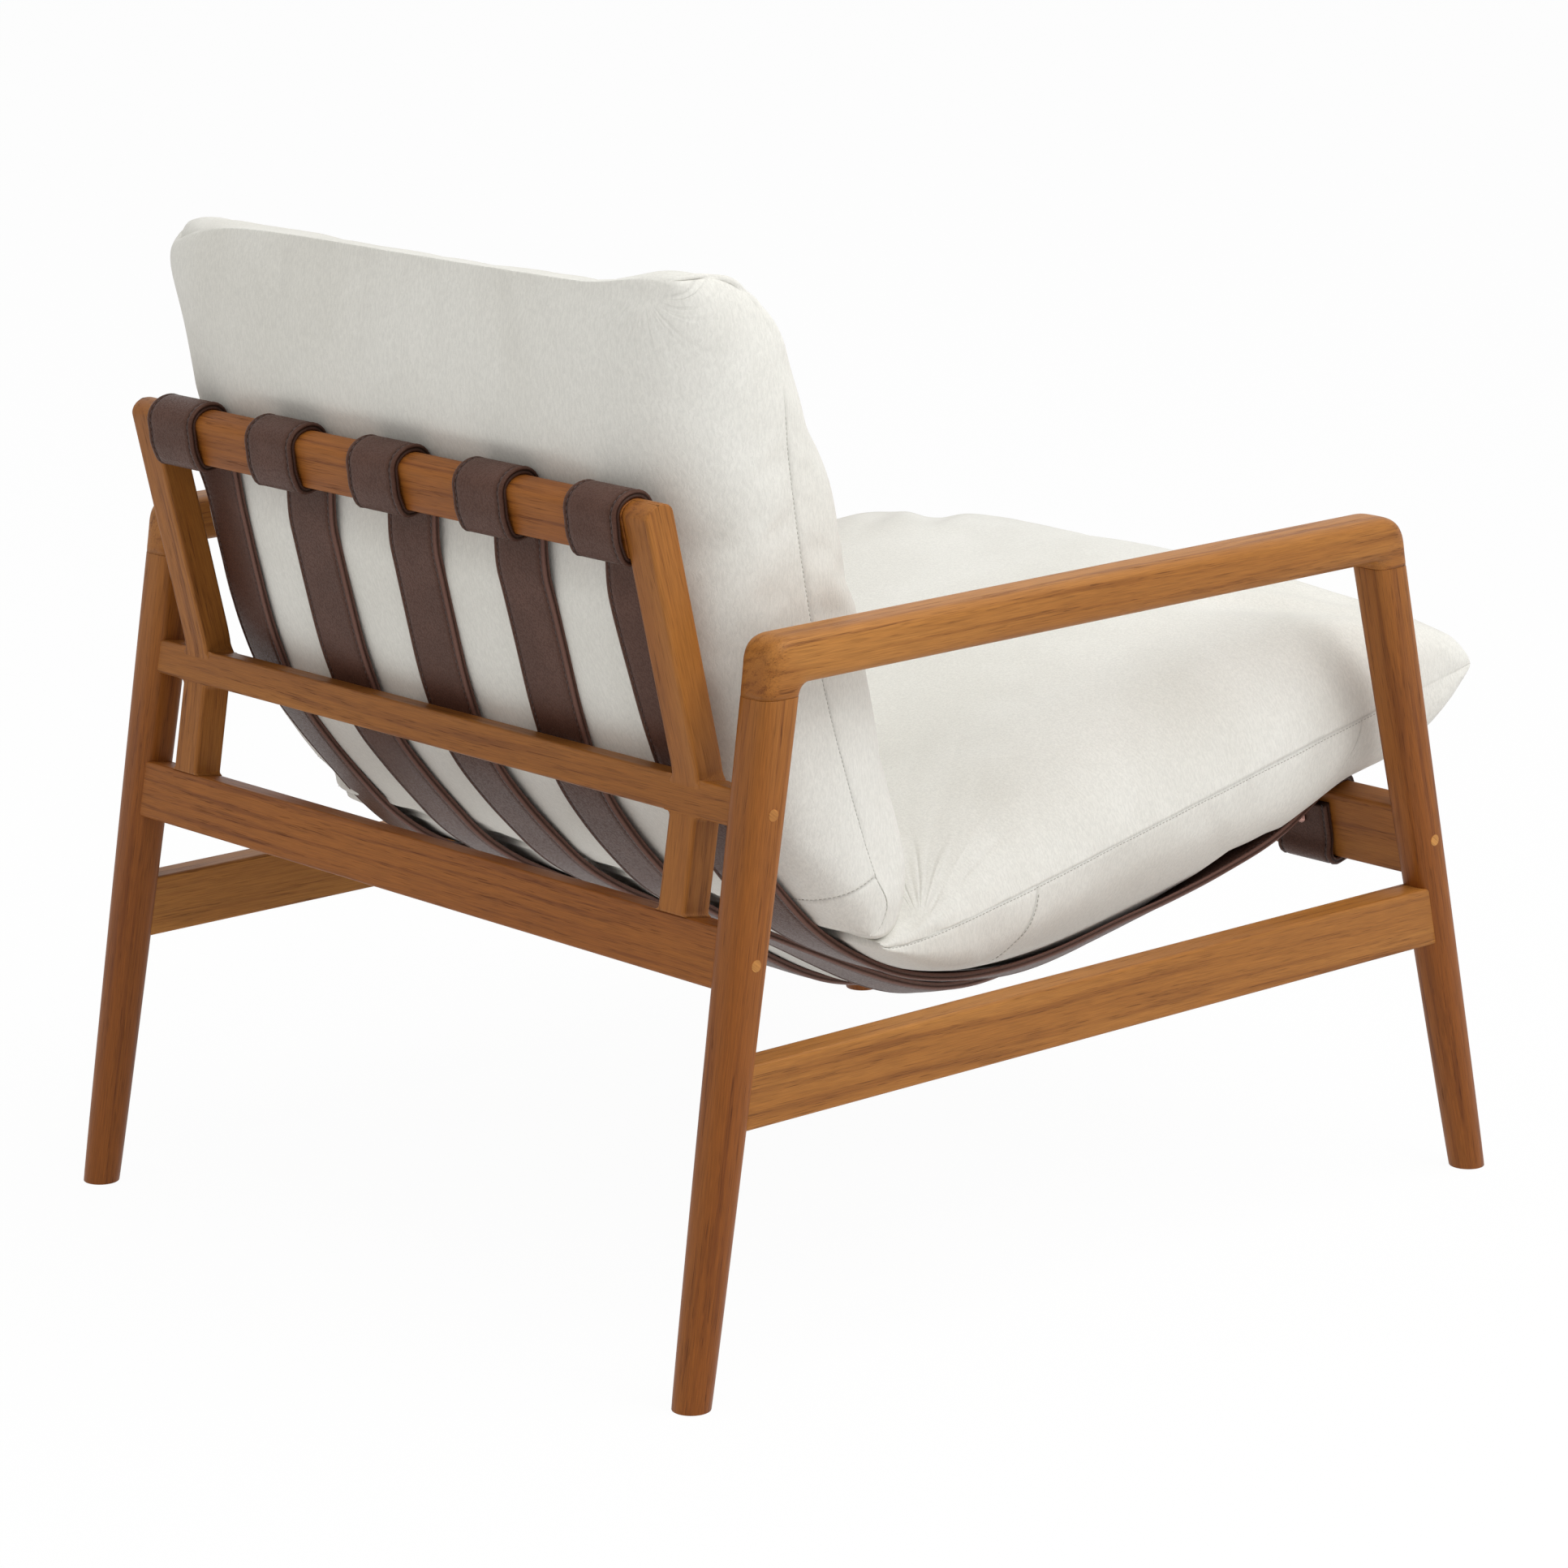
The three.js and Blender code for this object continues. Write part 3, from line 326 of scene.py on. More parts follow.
# Wood: slow tone, growth lines, fibres and dark open pores, all stretched along the grain
woodFigure = {
    "swayScale": 9.0, "sway": (0.016, 0.010, 0.0), "toneScale": 22.0, "lineScale": 230.0, "lineBlend": 0.70,
    "fibreScale": 1500.0, "fibreShade": (0.80, 1.12), "poreScale": 1350.0, "poreBlend": 0.62,
    "redBoard": (0.60, 0.41, 0.23, 1), "goldBoard": (1.0, 1.0, 1.0, 1), "shine": 0.22, "relief": (0.00010, 0.5),
}
teakLook = {"Dark": (0.195, 0.064, 0.012, 1), "Mid": (0.350, 0.136, 0.025, 1),
            "Light": (0.450, 0.195, 0.044, 1), "Pore": (0.075, 0.024, 0.007, 1)}
plugLook = {"Dark": (0.20, 0.07, 0.014, 1), "Mid": (0.41, 0.165, 0.036, 1),
            "Light": (0.56, 0.265, 0.068, 1), "Pore": (0.12, 0.04, 0.010, 1)}
beechLook = {"Dark": (0.45, 0.29, 0.14, 1), "Mid": (0.58, 0.40, 0.22, 1),
             "Light": (0.66, 0.48, 0.28, 1), "Pore": (0.35, 0.2, 0.1, 1)}


def woodGroup():
    tree, given = startGroup("woodGrain", ["Place"], list(teakLook), ["Pores", "Tone"])
    place, figure = given["Place"], woodFigure
    sway = noise(tree, scaled(tree, place, (1, 1, 0.25)), figure["swayScale"], 1.0)
    swayed = warped(tree, place, sway, figure["sway"])
    tone = noise(tree, scaled(tree, swayed, (1, 1, 0.07)), figure["toneScale"], 3.0, 0.55)
    lines = noise(tree, scaled(tree, swayed, (1, 0.5, 0.02)), figure["lineScale"], 2.0, 0.6)
    fibres = noise(tree, scaled(tree, place, (1, 1, 0.025)), figure["fibreScale"], 2.0, 0.6)
    poreField = noise(tree, scaled(tree, swayed, (1, 1, 0.030)), figure["poreScale"], 1.5, 0.55)
    poreBands = between(tree, lines, 0.42, 0.62, 0.30, 0.9)
    pores = maths(tree, "MULTIPLY", between(tree, poreField, 0.57, 0.68), poreBands)
    pores = maths(tree, "MULTIPLY", pores, given["Pores"], True)
    colour = blendColour(tree, between(tree, tone, 0.34, 0.66), given["Mid"], given["Light"])
    darkLines = between(tree, lines, 0.46, 0.76, 0.0, figure["lineBlend"])
    colour = blendColour(tree, darkLines, colour, given["Dark"])
    colour = shaded(tree, colour, between(tree, fibres, 0.25, 0.75, *figure["fibreShade"]))
    colour = blendColour(tree, maths(tree, "MULTIPLY", pores, figure["poreBlend"]), colour, given["Pore"])
    # the tone for each point: the board's colour, with painted shade on the legs and the armrest ends
    board = blendColour(tree, given["Tone"], figure["redBoard"], figure["goldBoard"])
    colour = blendColour(tree, 1.0, colour, board, "MULTIPLY")
    dull = between(tree, tone, 0.3, 0.7, 0.40, 0.50)
    rough = maths(tree, "ADD", dull, maths(tree, "MULTIPLY", pores, 0.25))
    height = maths(tree, "SUBTRACT", maths(tree, "MULTIPLY", fibres, 0.25), pores)
    return endGroup(tree, colour, rough, height)


woodGrain = woodGroup()


def woodMaterial(name, look, place, tone, pores=1.0):
    own = {"Specular IOR Level": woodFigure["shine"]}
    return dress(name, woodGrain, own, woodFigure["relief"], Place=place, Tone=tone, Pores=pores, **look)


teak = woodMaterial("teak", teakLook, "grain", "tone")
plugTeak = woodMaterial("plugTeak", plugLook, "grain", "tone")
beech = woodMaterial("beech", beechLook, "object", 1.0, 0.3)

# Leather: pebbled skin, darker in the pits, near-black on the cut edges, with painted shade in the stitch
# grooves and layer creases and painted light on the hanging runs' side edges
leatherLook = {
    "Skin": (0.068, 0.030, 0.021, 1), "Worn": (0.100, 0.047, 0.034, 1), "Pit": (0.026, 0.010, 0.007, 1),
    "CutEdgeAndShade": (0.010, 0.004, 0.003, 1), "Rubbed": (0.20, 0.105, 0.085, 1),
}
leatherSurface = {"bendScale": 160.0, "bend": (0.004, 0.004, 0.004), "pebbleScale": 700.0, "toneScale": 26.0,
                  "fineScale": 2400.0, "sheen": (1.0, 0.70, 0.56, 1), "shine": 0.30, "relief": (0.00018, 0.6)}


def leatherGroup():
    tree, given = startGroup("leatherGrain", ["Place"], list(leatherLook), ["Edge", "Rub"])
    place, surface = given["Place"], leatherSurface
    bent = warped(tree, place, noise(tree, place, surface["bendScale"]), surface["bend"])
    cells = addNode(tree, "ShaderNodeTexVoronoi", {"feature": "SMOOTH_F1"}, Vector=bent,
                    Scale=surface["pebbleScale"], Smoothness=0.6).outputs["Distance"]
    pebble = between(tree, cells, 0.1, 0.75, 1.0, 0.0)
    tone = noise(tree, place, surface["toneScale"], 4.0, 0.6)
    fine = noise(tree, place, surface["fineScale"], 2.0, 0.6)
    colour = blendColour(tree, between(tree, tone, 0.40, 0.74, 0.0, 0.6), given["Skin"], given["Worn"])
    colour = blendColour(tree, between(tree, pebble, 0.0, 0.40, 0.30, 0.0), colour, given["Pit"])
    # painted light: a lighter colour on the hanging runs' side edges
    colour = blendColour(tree, maths(tree, "MULTIPLY", given["Rub"], 0.8, True), colour, given["Rubbed"])
    # painted shade in the stitch grooves and layer creases, and the darker cut edge
    colour = blendColour(tree, maths(tree, "MULTIPLY", given["Edge"], 0.95, True), colour, given["CutEdgeAndShade"])
    flat = maths(tree, "SUBTRACT", 1.0, given["Edge"], True)
    height = maths(tree, "ADD", maths(tree, "MULTIPLY", pebble, flat), maths(tree, "MULTIPLY", fine, 0.35))
    return endGroup(tree, colour, between(tree, pebble, 0.0, 1.0, 0.53, 0.38), height)


leather = dress("leather", leatherGroup(),
                {"Specular IOR Level": leatherSurface["shine"], "Specular Tint": leatherSurface["sheen"]},
                leatherSurface["relief"], Place="object", Edge="edge", Rub="rub", **leatherLook)

# Cloth: fine wavy twill, a slow change of tone, painted shade in the seam grooves, and creases that fan out
# from one place
clothLook = {"Light": (0.795, 0.785, 0.735, 1), "Shade": (0.735, 0.722, 0.668, 1)}
clothWeave = {
    "swayScale": 240.0, "sway": (0.0045, 0.0045, 0.0045), "ribScale": 640.0, "ribShade": (0.915, 1.03),
    "threadScale": 2100.0, "toneScale": 5.0, "seamShade": 0.20, "creaseDrift": (4.0, 6.0, 0.0),
    "creaseWidth": 0.11, "creaseDeep": 3.0, "shine": 0.2, "fuzz": 0.08, "relief": (0.00045, 0.6),
}


def clothGroup():
    tree, given = startGroup("twillCloth", ["Place", "Fan"], list(clothLook), ["Seam"])
    place, fan, weave = given["Place"], given["Fan"], clothWeave
    drift = noise(tree, scaled(tree, fan, weave["creaseDrift"]), 1.0, 1.0, 0.4)
    off = maths(tree, "ABSOLUTE", maths(tree, "SUBTRACT", drift, 0.5))
    creases = maths(tree, "MULTIPLY", between(tree, off, 0.0, weave["creaseWidth"], 1.0, 0.0),
                    addNode(tree, "ShaderNodeSeparateXYZ", Vector=fan).outputs["Z"])
    swayed = warped(tree, place, noise(tree, place, weave["swayScale"]), weave["sway"])
    ribs = noise(tree, scaled(tree, swayed, (1.0, 1.0, 0.24)), weave["ribScale"], 2.0, 0.55)
    threads = noise(tree, scaled(tree, place, (1.0, 1.0, 1.6)), weave["threadScale"], 1.0)
    tone = noise(tree, place, weave["toneScale"], 3.0, 0.55)
    colour = blendColour(tree, between(tree, tone, 0.35, 0.65), given["Light"], given["Shade"])
    # painted shade in the seam grooves
    seam = maths(tree, "MULTIPLY", given["Seam"], weave["seamShade"])
    ribShade = between(tree, ribs, 0.25, 0.75, *weave["ribShade"])
    colour = shaded(tree, colour, maths(tree, "SUBTRACT", ribShade, seam))
    height = maths(tree, "ADD", ribs, maths(tree, "MULTIPLY", threads, 0.4))
    height = maths(tree, "SUBTRACT", height, maths(tree, "MULTIPLY", creases, weave["creaseDeep"]))
    return endGroup(tree, colour, between(tree, ribs, 0.2, 0.8, 0.94, 0.86), height)


cloth = dress("cloth", clothGroup(),
              {"Specular IOR Level": clothWeave["shine"], "Sheen Weight": clothWeave["fuzz"]},
              clothWeave["relief"], Place="object", Fan="fan", Seam="seam", **clothLook)


def threadMaterial(name, scale, dark, light, roughness):
    material, tree, shader = startMaterial(name)
    fuzz = noise(tree, objectPlace(tree), scale)
    tree.links.new(blendColour(tree, fuzz, dark, light), shader.inputs["Base Color"])
    shader.inputs["Roughness"].default_value = roughness
    return material


thread = threadMaterial("leatherThread", 1800.0, (0.030, 0.016, 0.014, 1), (0.11, 0.065, 0.056, 1), 0.45)
# The cushion thread is darker than the cloth: painted shade of its needle holes
shadedClothThread = threadMaterial("shadedClothThread", 2500.0, (0.34, 0.325, 0.29, 1), (0.50, 0.48, 0.44, 1), 0.7)


def metalMaterial(name, colour, dull, low, high, scale):
    material, tree, shader = startMaterial(name)
    place = objectPlace(tree)
    wear = noise(tree, place, scale, 4.0, 0.6)
    tree.links.new(blendColour(tree, between(tree, wear, 0.35, 0.7), colour, dull), shader.inputs["Base Color"])
    tree.links.new(between(tree, wear, 0.3, 0.7, low, high), shader.inputs["Roughness"])
    shader.inputs["Metallic"].default_value = 1.0
    bumped(tree, shader, noise(tree, place, scale * 9), 0.00004, 0.5)
    return material


copper = metalMaterial("snapCopper", (0.52, 0.30, 0.25, 1), (0.27, 0.15, 0.13, 1), 0.26, 0.45, 260.0)
steel = metalMaterial("steel", (0.60, 0.60, 0.58, 1), (0.45, 0.45, 0.44, 1), 0.30, 0.45, 300.0)
print("materials ready")

# The frame's own sizes, as the model's source sets them out
shiftY = 11.3
frameSizes = {
    "legSpacing": 726, "legLean": 0.014, "footDiameter": 29, "legTopWidth": 36,
    "rearFootY": 423 + shiftY, "rearRake": -0.162, "rearTop": 512,
    "frontFootY": -430 + shiftY, "frontRake": 0.232, "frontTop": 518,
    "stock": 26, "rounding": 2.4, "jointGap": 0.3, "footPower": 2.0, "topPower": 3.4,
}
legLook = {"footTone": 0.14, "topTone": 0.50, "rings": 60, "around": 72}
legs = {
    "rear": (frameSizes["rearFootY"], frameSizes["rearRake"], frameSizes["rearTop"]),
    "front": (frameSizes["frontFootY"], frameSizes["frontRake"], frameSizes["frontTop"]),
}
halfStock = frameSizes["stock"] / 2
rounding = frameSizes["rounding"]


def legX(z):
    return frameSizes["legSpacing"] / 2 - frameSizes["legLean"] * z


def legY(kind, z):
    footY, rake, top = legs[kind]
    return footY + rake * z


def legHalf(z, top):
    return mix(frameSizes["footDiameter"] / 2, frameSizes["legTopWidth"] / 2, np.clip(z / top, 0, 1) ** 0.7)


def legPower(z, top):
    return mix(frameSizes["footPower"], frameSizes["topPower"], np.clip(z / top, 0, 1))


def roundedEnds(low, high, radius, middle):
    # Places along a length and how far the section draws in there, quarter circles at both ends
    t = np.linspace(0, quarter, 5)
    draw = radius * (1 - np.sin(t))
    rise = radius * (1 - np.cos(t))
    along = np.r_[low + rise, np.linspace(low + radius, high - radius, middle + 2)[1:-1], (high - rise)[::-1]]
    return along, np.r_[draw, np.zeros(middle), draw[::-1]]


def acrossChair(x, spots):
    # Side-view points set at places across the chair
    return np.concatenate([np.broadcast_to(x, spots.shape[:-1])[..., None], spots], axis=-1)


def makeLeg(kind, label, side):
    # Level squared-circle sections, growing from a round foot to a rounded square top
    rake, top = legs[kind][1:]
    around = legLook["around"]
    z, draw = roundedEnds(0.0, top + 0.2, 0.5, legLook["rings"])
    angle = np.linspace(0, 2 * math.pi, around, endpoint=False)[None, :]
    u, v = squaredCircle(angle, legPower(z, top)[:, None])
    reach = (legHalf(z, top) - draw)[:, None]
    grid = np.stack([side * legX(z)[:, None] + u * reach, legY(kind, z)[:, None] + v * reach,
                     np.broadcast_to(z[:, None], u.shape)], axis=-1)
    # Painted shade: the legs are darker from the top down towards the foot
    low, high = legLook["footTone"], legLook["topTone"]
    tone = np.r_[np.repeat(mix(low, high, (z / top) ** 4), around), low, high]
    along = (-side * frameSizes["legLean"], rake, 1)
    woodPiece(f"{kind}_leg_{label}", grid, along, 11 + 2 * (kind == "rear") + (side > 0), tone)


for label, side in sideSigns.items():
    makeLeg("rear", label, side)
    makeLeg("front", label, side)
print("legs built")


def leaning(footY, footZ, rake):
    # A raked plane's own directions in side view: v runs up it, w squarely behind it
    up = unit(np.array([rake, 1.0]))
    return {"foot": np.array([footY, footZ]), "v": up, "w": np.array([up[1], -up[0]])}


def onPlane(plane, v, w):
    v, w = np.broadcast_arrays(np.asarray(v, float), np.asarray(w, float))
    return plane["foot"] + v[..., None] * plane["v"] + w[..., None] * plane["w"]


rearPlane = leaning(frameSizes["rearFootY"], 0.0, frameSizes["rearRake"])
frontPlane = leaning(frameSizes["frontFootY"], 0.0, frameSizes["frontRake"])


def roundedSection(halfA, halfB, radius, perCorner=5):
    # A rectangle with quarter-circle corners and a support point beside each; the sizes may
    # be arrays along a path, one section for each
    halfA, halfB, radius = (np.atleast_1d(np.asarray(x, float))[:, None] for x in (halfA, halfB, radius))
    ahead = radius * 0.6 + 0.4
    parts = []
    for reach, signs, wave in ((halfA, (1, -1, -1, 1), np.cos), (halfB, (1, 1, -1, -1), np.sin)):
        row = []
        for k, sign in enumerate(signs):
            angle = np.linspace(0, quarter, perCorner + 1) + k * quarter
            arc = sign * (reach - radius) + radius * wave(angle)
            row += [arc[:, :1] + ahead * wave(angle[0] - quarter), arc,
                    arc[:, -1:] + ahead * wave(angle[0] + 2 * quarter)]
        parts.append(np.hstack(row))
    return np.broadcast_arrays(*parts)


railSizes = {
    "lowerAlong": 327.5, "lowerHeight": 45, "upperAlong": 436, "upperHeight": 27,
    "frontAlong": 297, "frontHeight": 59, "sideZ": 225, "sideHeight": 48,
    "postInner": 279, "postWidth": 28, "recline": 0.24, "aboveKink": 212,
    "bendBelow": 10, "bendAbove": 20, "topHeight": 41, "crown": 9, "topCorner": 3, "fillet": 3.5,
}
postX = railSizes["postInner"] + railSizes["postWidth"] / 2


def makeCrossRail(name, plane, along, height, seed, tone, nearPosts=False):
    # A rounded rectangle carried along X between the legs. Beside the posts the long edges
    # square up, so that the crossing is flush.
    reach = legX(onPlane(plane, along, 0)[1])
    besidePost = np.linspace(-24, 24, 25)
    x = np.unique(np.r_[np.linspace(-reach, reach, 60), besidePost - postX, besidePost + postX])
    radius = np.full(len(x), rounding)
    if nearPosts:
        away = np.abs(np.abs(x) - postX) - railSizes["postWidth"] / 2 - railSizes["fillet"]
        radius = mix(0.05, rounding, smoothStep(away / 4))
    v, w = roundedSection(height / 2, halfStock, radius)
    woodPiece(name, acrossChair(x[:, None], onPlane(plane, along + v, w)), (1, 0, 0), seed, tone)


makeCrossRail("lower_rear_rail", rearPlane, railSizes["lowerAlong"], railSizes["lowerHeight"], 31, 0.2)
makeCrossRail("upper_rear_rail", rearPlane, railSizes["upperAlong"], railSizes["upperHeight"], 32, 0.6, True)
makeCrossRail("front_rail", frontPlane, railSizes["frontAlong"], railSizes["frontHeight"], 33, 0.5)

for label, side in sideSigns.items():
    z = railSizes["sideZ"]
    y = np.linspace(legY("front", z), legY("rear", z), 60)[:, None]
    a, b = roundedSection(halfStock, railSizes["sideHeight"] / 2, rounding)
    grid = np.stack(np.broadcast_arrays(side * legX(z) + a, y, z + b), axis=-1)
    woodPiece(f"side_rail_{label}", grid, (0, 1, 0.012), 41 + (side > 0), 0.9)
print("rails built")

# Back posts: up the rear plane from the lower rail, bent at the upper rail, reclined above it
kinkAlong = railSizes["upperAlong"] + railSizes["upperHeight"] / 2
kinkPoint = onPlane(rearPlane, kinkAlong, 0)
reclinePlane = leaning(kinkPoint[0], kinkPoint[1], railSizes["recline"])
lowerTop = railSizes["lowerAlong"] + railSizes["lowerHeight"] / 2
crownBase = railSizes["aboveKink"] - railSizes["crown"]
topBottom = railSizes["aboveKink"] - railSizes["topHeight"]
crownRows = 11


def postLine():
    # Straight up the rear plane, a quadratic bend, straight up the reclined plane, a crown
    enter = onPlane(rearPlane, kinkAlong - railSizes["bendBelow"], 0)
    leave = onPlane(reclinePlane, railSizes["bendAbove"], 0)
    straight = mix(onPlane(rearPlane, lowerTop, 0), enter, np.linspace(0, 1, 60)[:-1, None])
    above = mix(leave, onPlane(reclinePlane, crownBase, 0), np.linspace(0, 1, 80)[1:, None])
    angle = np.linspace(0, quarter, crownRows + 1)[1:]
    crown = onPlane(reclinePlane, crownBase + railSizes["crown"] * np.sin(angle), 0)
    line = np.vstack([straight, cornerCurve(enter, kinkPoint, leave, 12), above, crown])
    return line, np.r_[np.full(len(line) - crownRows, halfStock), halfStock * np.cos(angle)]


def makePost(label, side):
    # Its width flares by a fillet at the rails that it meets, and its edges round off at the top
    line, depth = postLine()
    length = lengthAlong(line)
    tangent = unit(np.gradient(line, axis=0))
    normal = np.stack([tangent[:, 1], -tangent[:, 0]], axis=1)
    normal[-crownRows:] = reclinePlane["w"]
    fillet = railSizes["fillet"]
    railLow = railSizes["upperAlong"] - railSizes["upperHeight"] / 2 - lowerTop
    railHigh = railLow + railSizes["upperHeight"]
    gap = np.minimum(np.maximum(np.maximum(railLow - length, length - railHigh), 0.0), length)
    near = np.clip(fillet - gap, 0, fillet)
    width = railSizes["postWidth"] / 2 + fillet - np.sqrt(np.maximum(fillet**2 - near**2, 0))
    up = np.arange(1, crownRows) / crownRows
    width[1 - crownRows:] -= rounding * (1 - np.sqrt(1 - up**6))
    inRail = (length > railLow) & (length < railHigh)
    depth = np.maximum(np.where(inRail, depth - frameSizes["jointGap"], depth), 0.02)
    a, b = roundedSection(width, depth, np.minimum(rounding, depth * 0.98))
    grid = acrossChair(side * postX + a, line[:, None, :] + b[..., None] * normal[:, None, :])
    board = np.stack([a, b, np.broadcast_to(length[:, None], a.shape)], axis=-1)
    woodPiece(f"back_post_{label}", grid, (0.01, 0.02, 1), 51 + (side > 0), 0.5, board)


for label, side in sideSigns.items():
    makePost(label, side)


def topRailSection():
    # Flat front and rear, small lower corners, an arched top
    t = np.linspace(0, math.pi, 29)
    arch = np.stack([crownBase + railSizes["crown"] * np.sin(t), halfStock * np.cos(t)], axis=1)
    r = railSizes["topCorner"]
    q = np.linspace(0, quarter, 6)
    low = np.stack([topBottom + r - r * np.sin(q), -(halfStock - r) - r * np.cos(q)], axis=1)
    high = np.stack([topBottom + r - r * np.cos(q), (halfStock - r) + r * np.sin(q)], axis=1)
    down = np.stack([np.linspace(crownBase, topBottom + r, 5)[1:-1], np.full(3, -halfStock)], axis=1)
    return np.vstack([arch, down, low, high, down[::-1] * [1, -1]])


section = topRailSection()
x, draw = roundedEnds(-railSizes["postInner"] + 0.2, railSizes["postInner"] - 0.2, 0.5, 60)
middle = np.array([(topBottom + railSizes["aboveKink"]) / 2, 0.0])
shrink = 1 - draw[:, None, None] / np.array([railSizes["topHeight"] / 2, halfStock])
spots = middle + (section - middle)[None] * shrink
topRailGrid = acrossChair(x[:, None], onPlane(reclinePlane, spots[..., 0], spots[..., 1]))
woodPiece("top_rail", topRailGrid, (1, 0, 0), 61, 0.2)
print("posts and top rail built")

# Armrests: sections between an outer line and an inner line, turned down at both ends
armSizes = {"width": 39, "thickness": 36, "rearHeight": 556, "frontHeight": 560, "rearCorner": 20,
            "frontCorner": 25, "innerCorner": 7, "power": 4.2, "around": 64, "endTone": 0.55, "tone": 0.85}


def roundCorner(corner, toward, away, radius, steps):
    # Turns from radius before the corner to radius after it
    before, after = toward - corner, away - corner
    enter, leave = (corner + unit(way) * min(radius, np.linalg.norm(way) * 0.8) for way in (before, after))
    return cornerCurve(enter, corner, leave, steps)


def armLine(spread):
    # One line of the armrest in side view, from the rear leg's top to the front leg's
    rearHeight, frontHeight = armSizes["rearHeight"], armSizes["frontHeight"]
    slope = (rearHeight - frontHeight) / (legY("rear", rearHeight) - legY("front", frontHeight))
    gap = frameSizes["jointGap"]
    rearFoot = np.array([legY("rear", frameSizes["rearTop"]) + spread, frameSizes["rearTop"] + gap])
    frontFoot = np.array([legY("front", frameSizes["frontTop"]) - spread, frameSizes["frontTop"] + gap])
    level = np.array([legY("rear", rearHeight), rearHeight - (0 if spread > 0 else armSizes["thickness"])])

    def meet(foot, rate):
        z = (level[0] - foot[0] + rate * foot[1] - level[1] / slope) / (rate - 1 / slope)
        return np.array([foot[0] + rate * (z - foot[1]), z])

    rearCorner, frontCorner = meet(rearFoot, frameSizes["rearRake"]), meet(frontFoot, frameSizes["frontRake"])
    turns = [armSizes[key if spread > 0 else "innerCorner"] for key in ("rearCorner", "frontCorner")]
    rear = roundCorner(rearCorner, rearFoot, frontCorner, turns[0], 18)
    front = roundCorner(frontCorner, rearCorner, frontFoot, turns[1], 18)
    rise = mix(rearFoot, rear[0], np.linspace(0, 1, 6)[:-1, None])
    run = mix(rear[-1], front[0], np.linspace(0, 1, 60)[1:-1, None])
    fall = mix(front[-1], frontFoot, np.linspace(0, 1, 6)[1:, None])
    return np.vstack([rise, rear, run, front, fall])


outer, inner = (armLine(sign * frameSizes["legTopWidth"] / 2) for sign in (1, -1))
atEnd = np.minimum(np.arange(len(outer)), np.arange(len(outer))[::-1])
settle = smoothStep(atEnd / 16)
angle = np.linspace(0, 2 * math.pi, armSizes["around"], endpoint=False)[None, :]
u, v = squaredCircle(angle, mix(frameSizes["topPower"], armSizes["power"], settle)[:, None])
halfX = mix(frameSizes["legTopWidth"] / 2, armSizes["width"] / 2, settle)[:, None]
shrink = np.where(atEnd == 0, 0.988, 1.0)[:, None]
armSpots = ((outer + inner) / 2)[:, None, :] + ((outer - inner) / 2)[:, None, :] * (v * shrink)[..., None]
# Painted shade: the turned-down ends are darker than the top run
armTone = mix(armSizes["endTone"], armSizes["tone"], smoothStep(atEnd / 24))
armTone = np.r_[np.repeat(armTone, armSizes["around"]), armSizes["endTone"], armSizes["endTone"]]
for label, side in sideSigns.items():
    grid = acrossChair(side * legX(armSpots[..., 1]) + u * halfX * shrink, armSpots)
    woodPiece(f"armrest_{label}", grid, (0, 1, -0.006), 71 + (side > 0), armTone)
print("armrests built")

# Plugs over the screws, a hair proud of the leg, their grain laid aslant. The profile runs
# from a dark rim in the hole to the middle: share of the radius, height above the leg.
plugSizes = {"radius": 4.95, "proud": 0.12, "rim": 0.93, "around": 40}
plugProfile = np.array([(1.04, -3.0), (1.0, -1.2), (0.98, -0.14), (0.95, 0), (0.86, 0.02), (0.68, 0.03),
                        (0.46, 0.03), (0.22, 0.03)])


def makePlug(node, side, plane, along, kind, seed):
    top = legs[kind][2]
    spot = onPlane(plane, along, 0)
    share, rise = plugProfile.T
    rho = share * plugSizes["radius"]
    theta = np.linspace(0, 2 * math.pi, plugSizes["around"], endpoint=False)
    y = spot[0] + rho[:, None] * np.cos(theta)
    z = spot[1] + rho[:, None] * np.sin(theta)
    across = np.clip(np.abs(y - legY(kind, z)) / legHalf(z, top), 0, 0.97)
    power = legPower(z, top)
    x = legX(z) + legHalf(z, top) * (1 - across**power) ** (1 / power) + plugSizes["proud"] + rise[:, None]
    tone = np.r_[np.repeat(np.where(share > plugSizes["rim"], 0.0, 1.0), len(theta)), 0.0, 0.8]
    woodPiece(node, np.stack([side * x, y, z], axis=-1), (0, 0.8, 0.6), seed, tone, None, plugTeak, "plug_teak")


for label, side in sideSigns.items():
    for name, plane, along, kind, seed in (("upper_rear", rearPlane, "upperAlong", "rear", 81),
                                           ("lower_rear", rearPlane, "lowerAlong", "rear", 83),
                                           ("front", frontPlane, "frontAlong", "front", 85)):
        makePlug(f"plug_{name}_{label}", side, plane, railSizes[along], kind, seed + (side > 0))
print("plugs built")

# Straps: a loop over the top rail, a hanging run, a loop round the front rail
strapSizes = {
    "pitch": 125, "width": 57, "thickness": 6, "sag": 82, "middleSag": 95, "deepest": 0.686, "flapDrop": 10,
    "snapDrop": 25, "bead": 4.6, "stitch": 5.0, "stitchDeep": 0.5, "stitchRadius": 0.42, "darkRun": 0.45,
    "rubFrom": 2.2, "rubSoft": 1.4,
}
hangShares = np.array([       # shares of the way from front to rear, and from the lowest place up
    (0.986, 0.892), (0.968, 0.761), (0.942, 0.598), (0.908, 0.456), (0.87, 0.358), (0.827, 0.265),
    (0.78, 0.175), (0.724, 0.096), (0.659, 0.036), (0.59, 0.006), (0.524, 0), (0.461, 0.007),
    (0.4, 0.021), (0.33, 0.04), (0.25, 0.062), (0.168, 0.092), (0.075, 0.142),
])
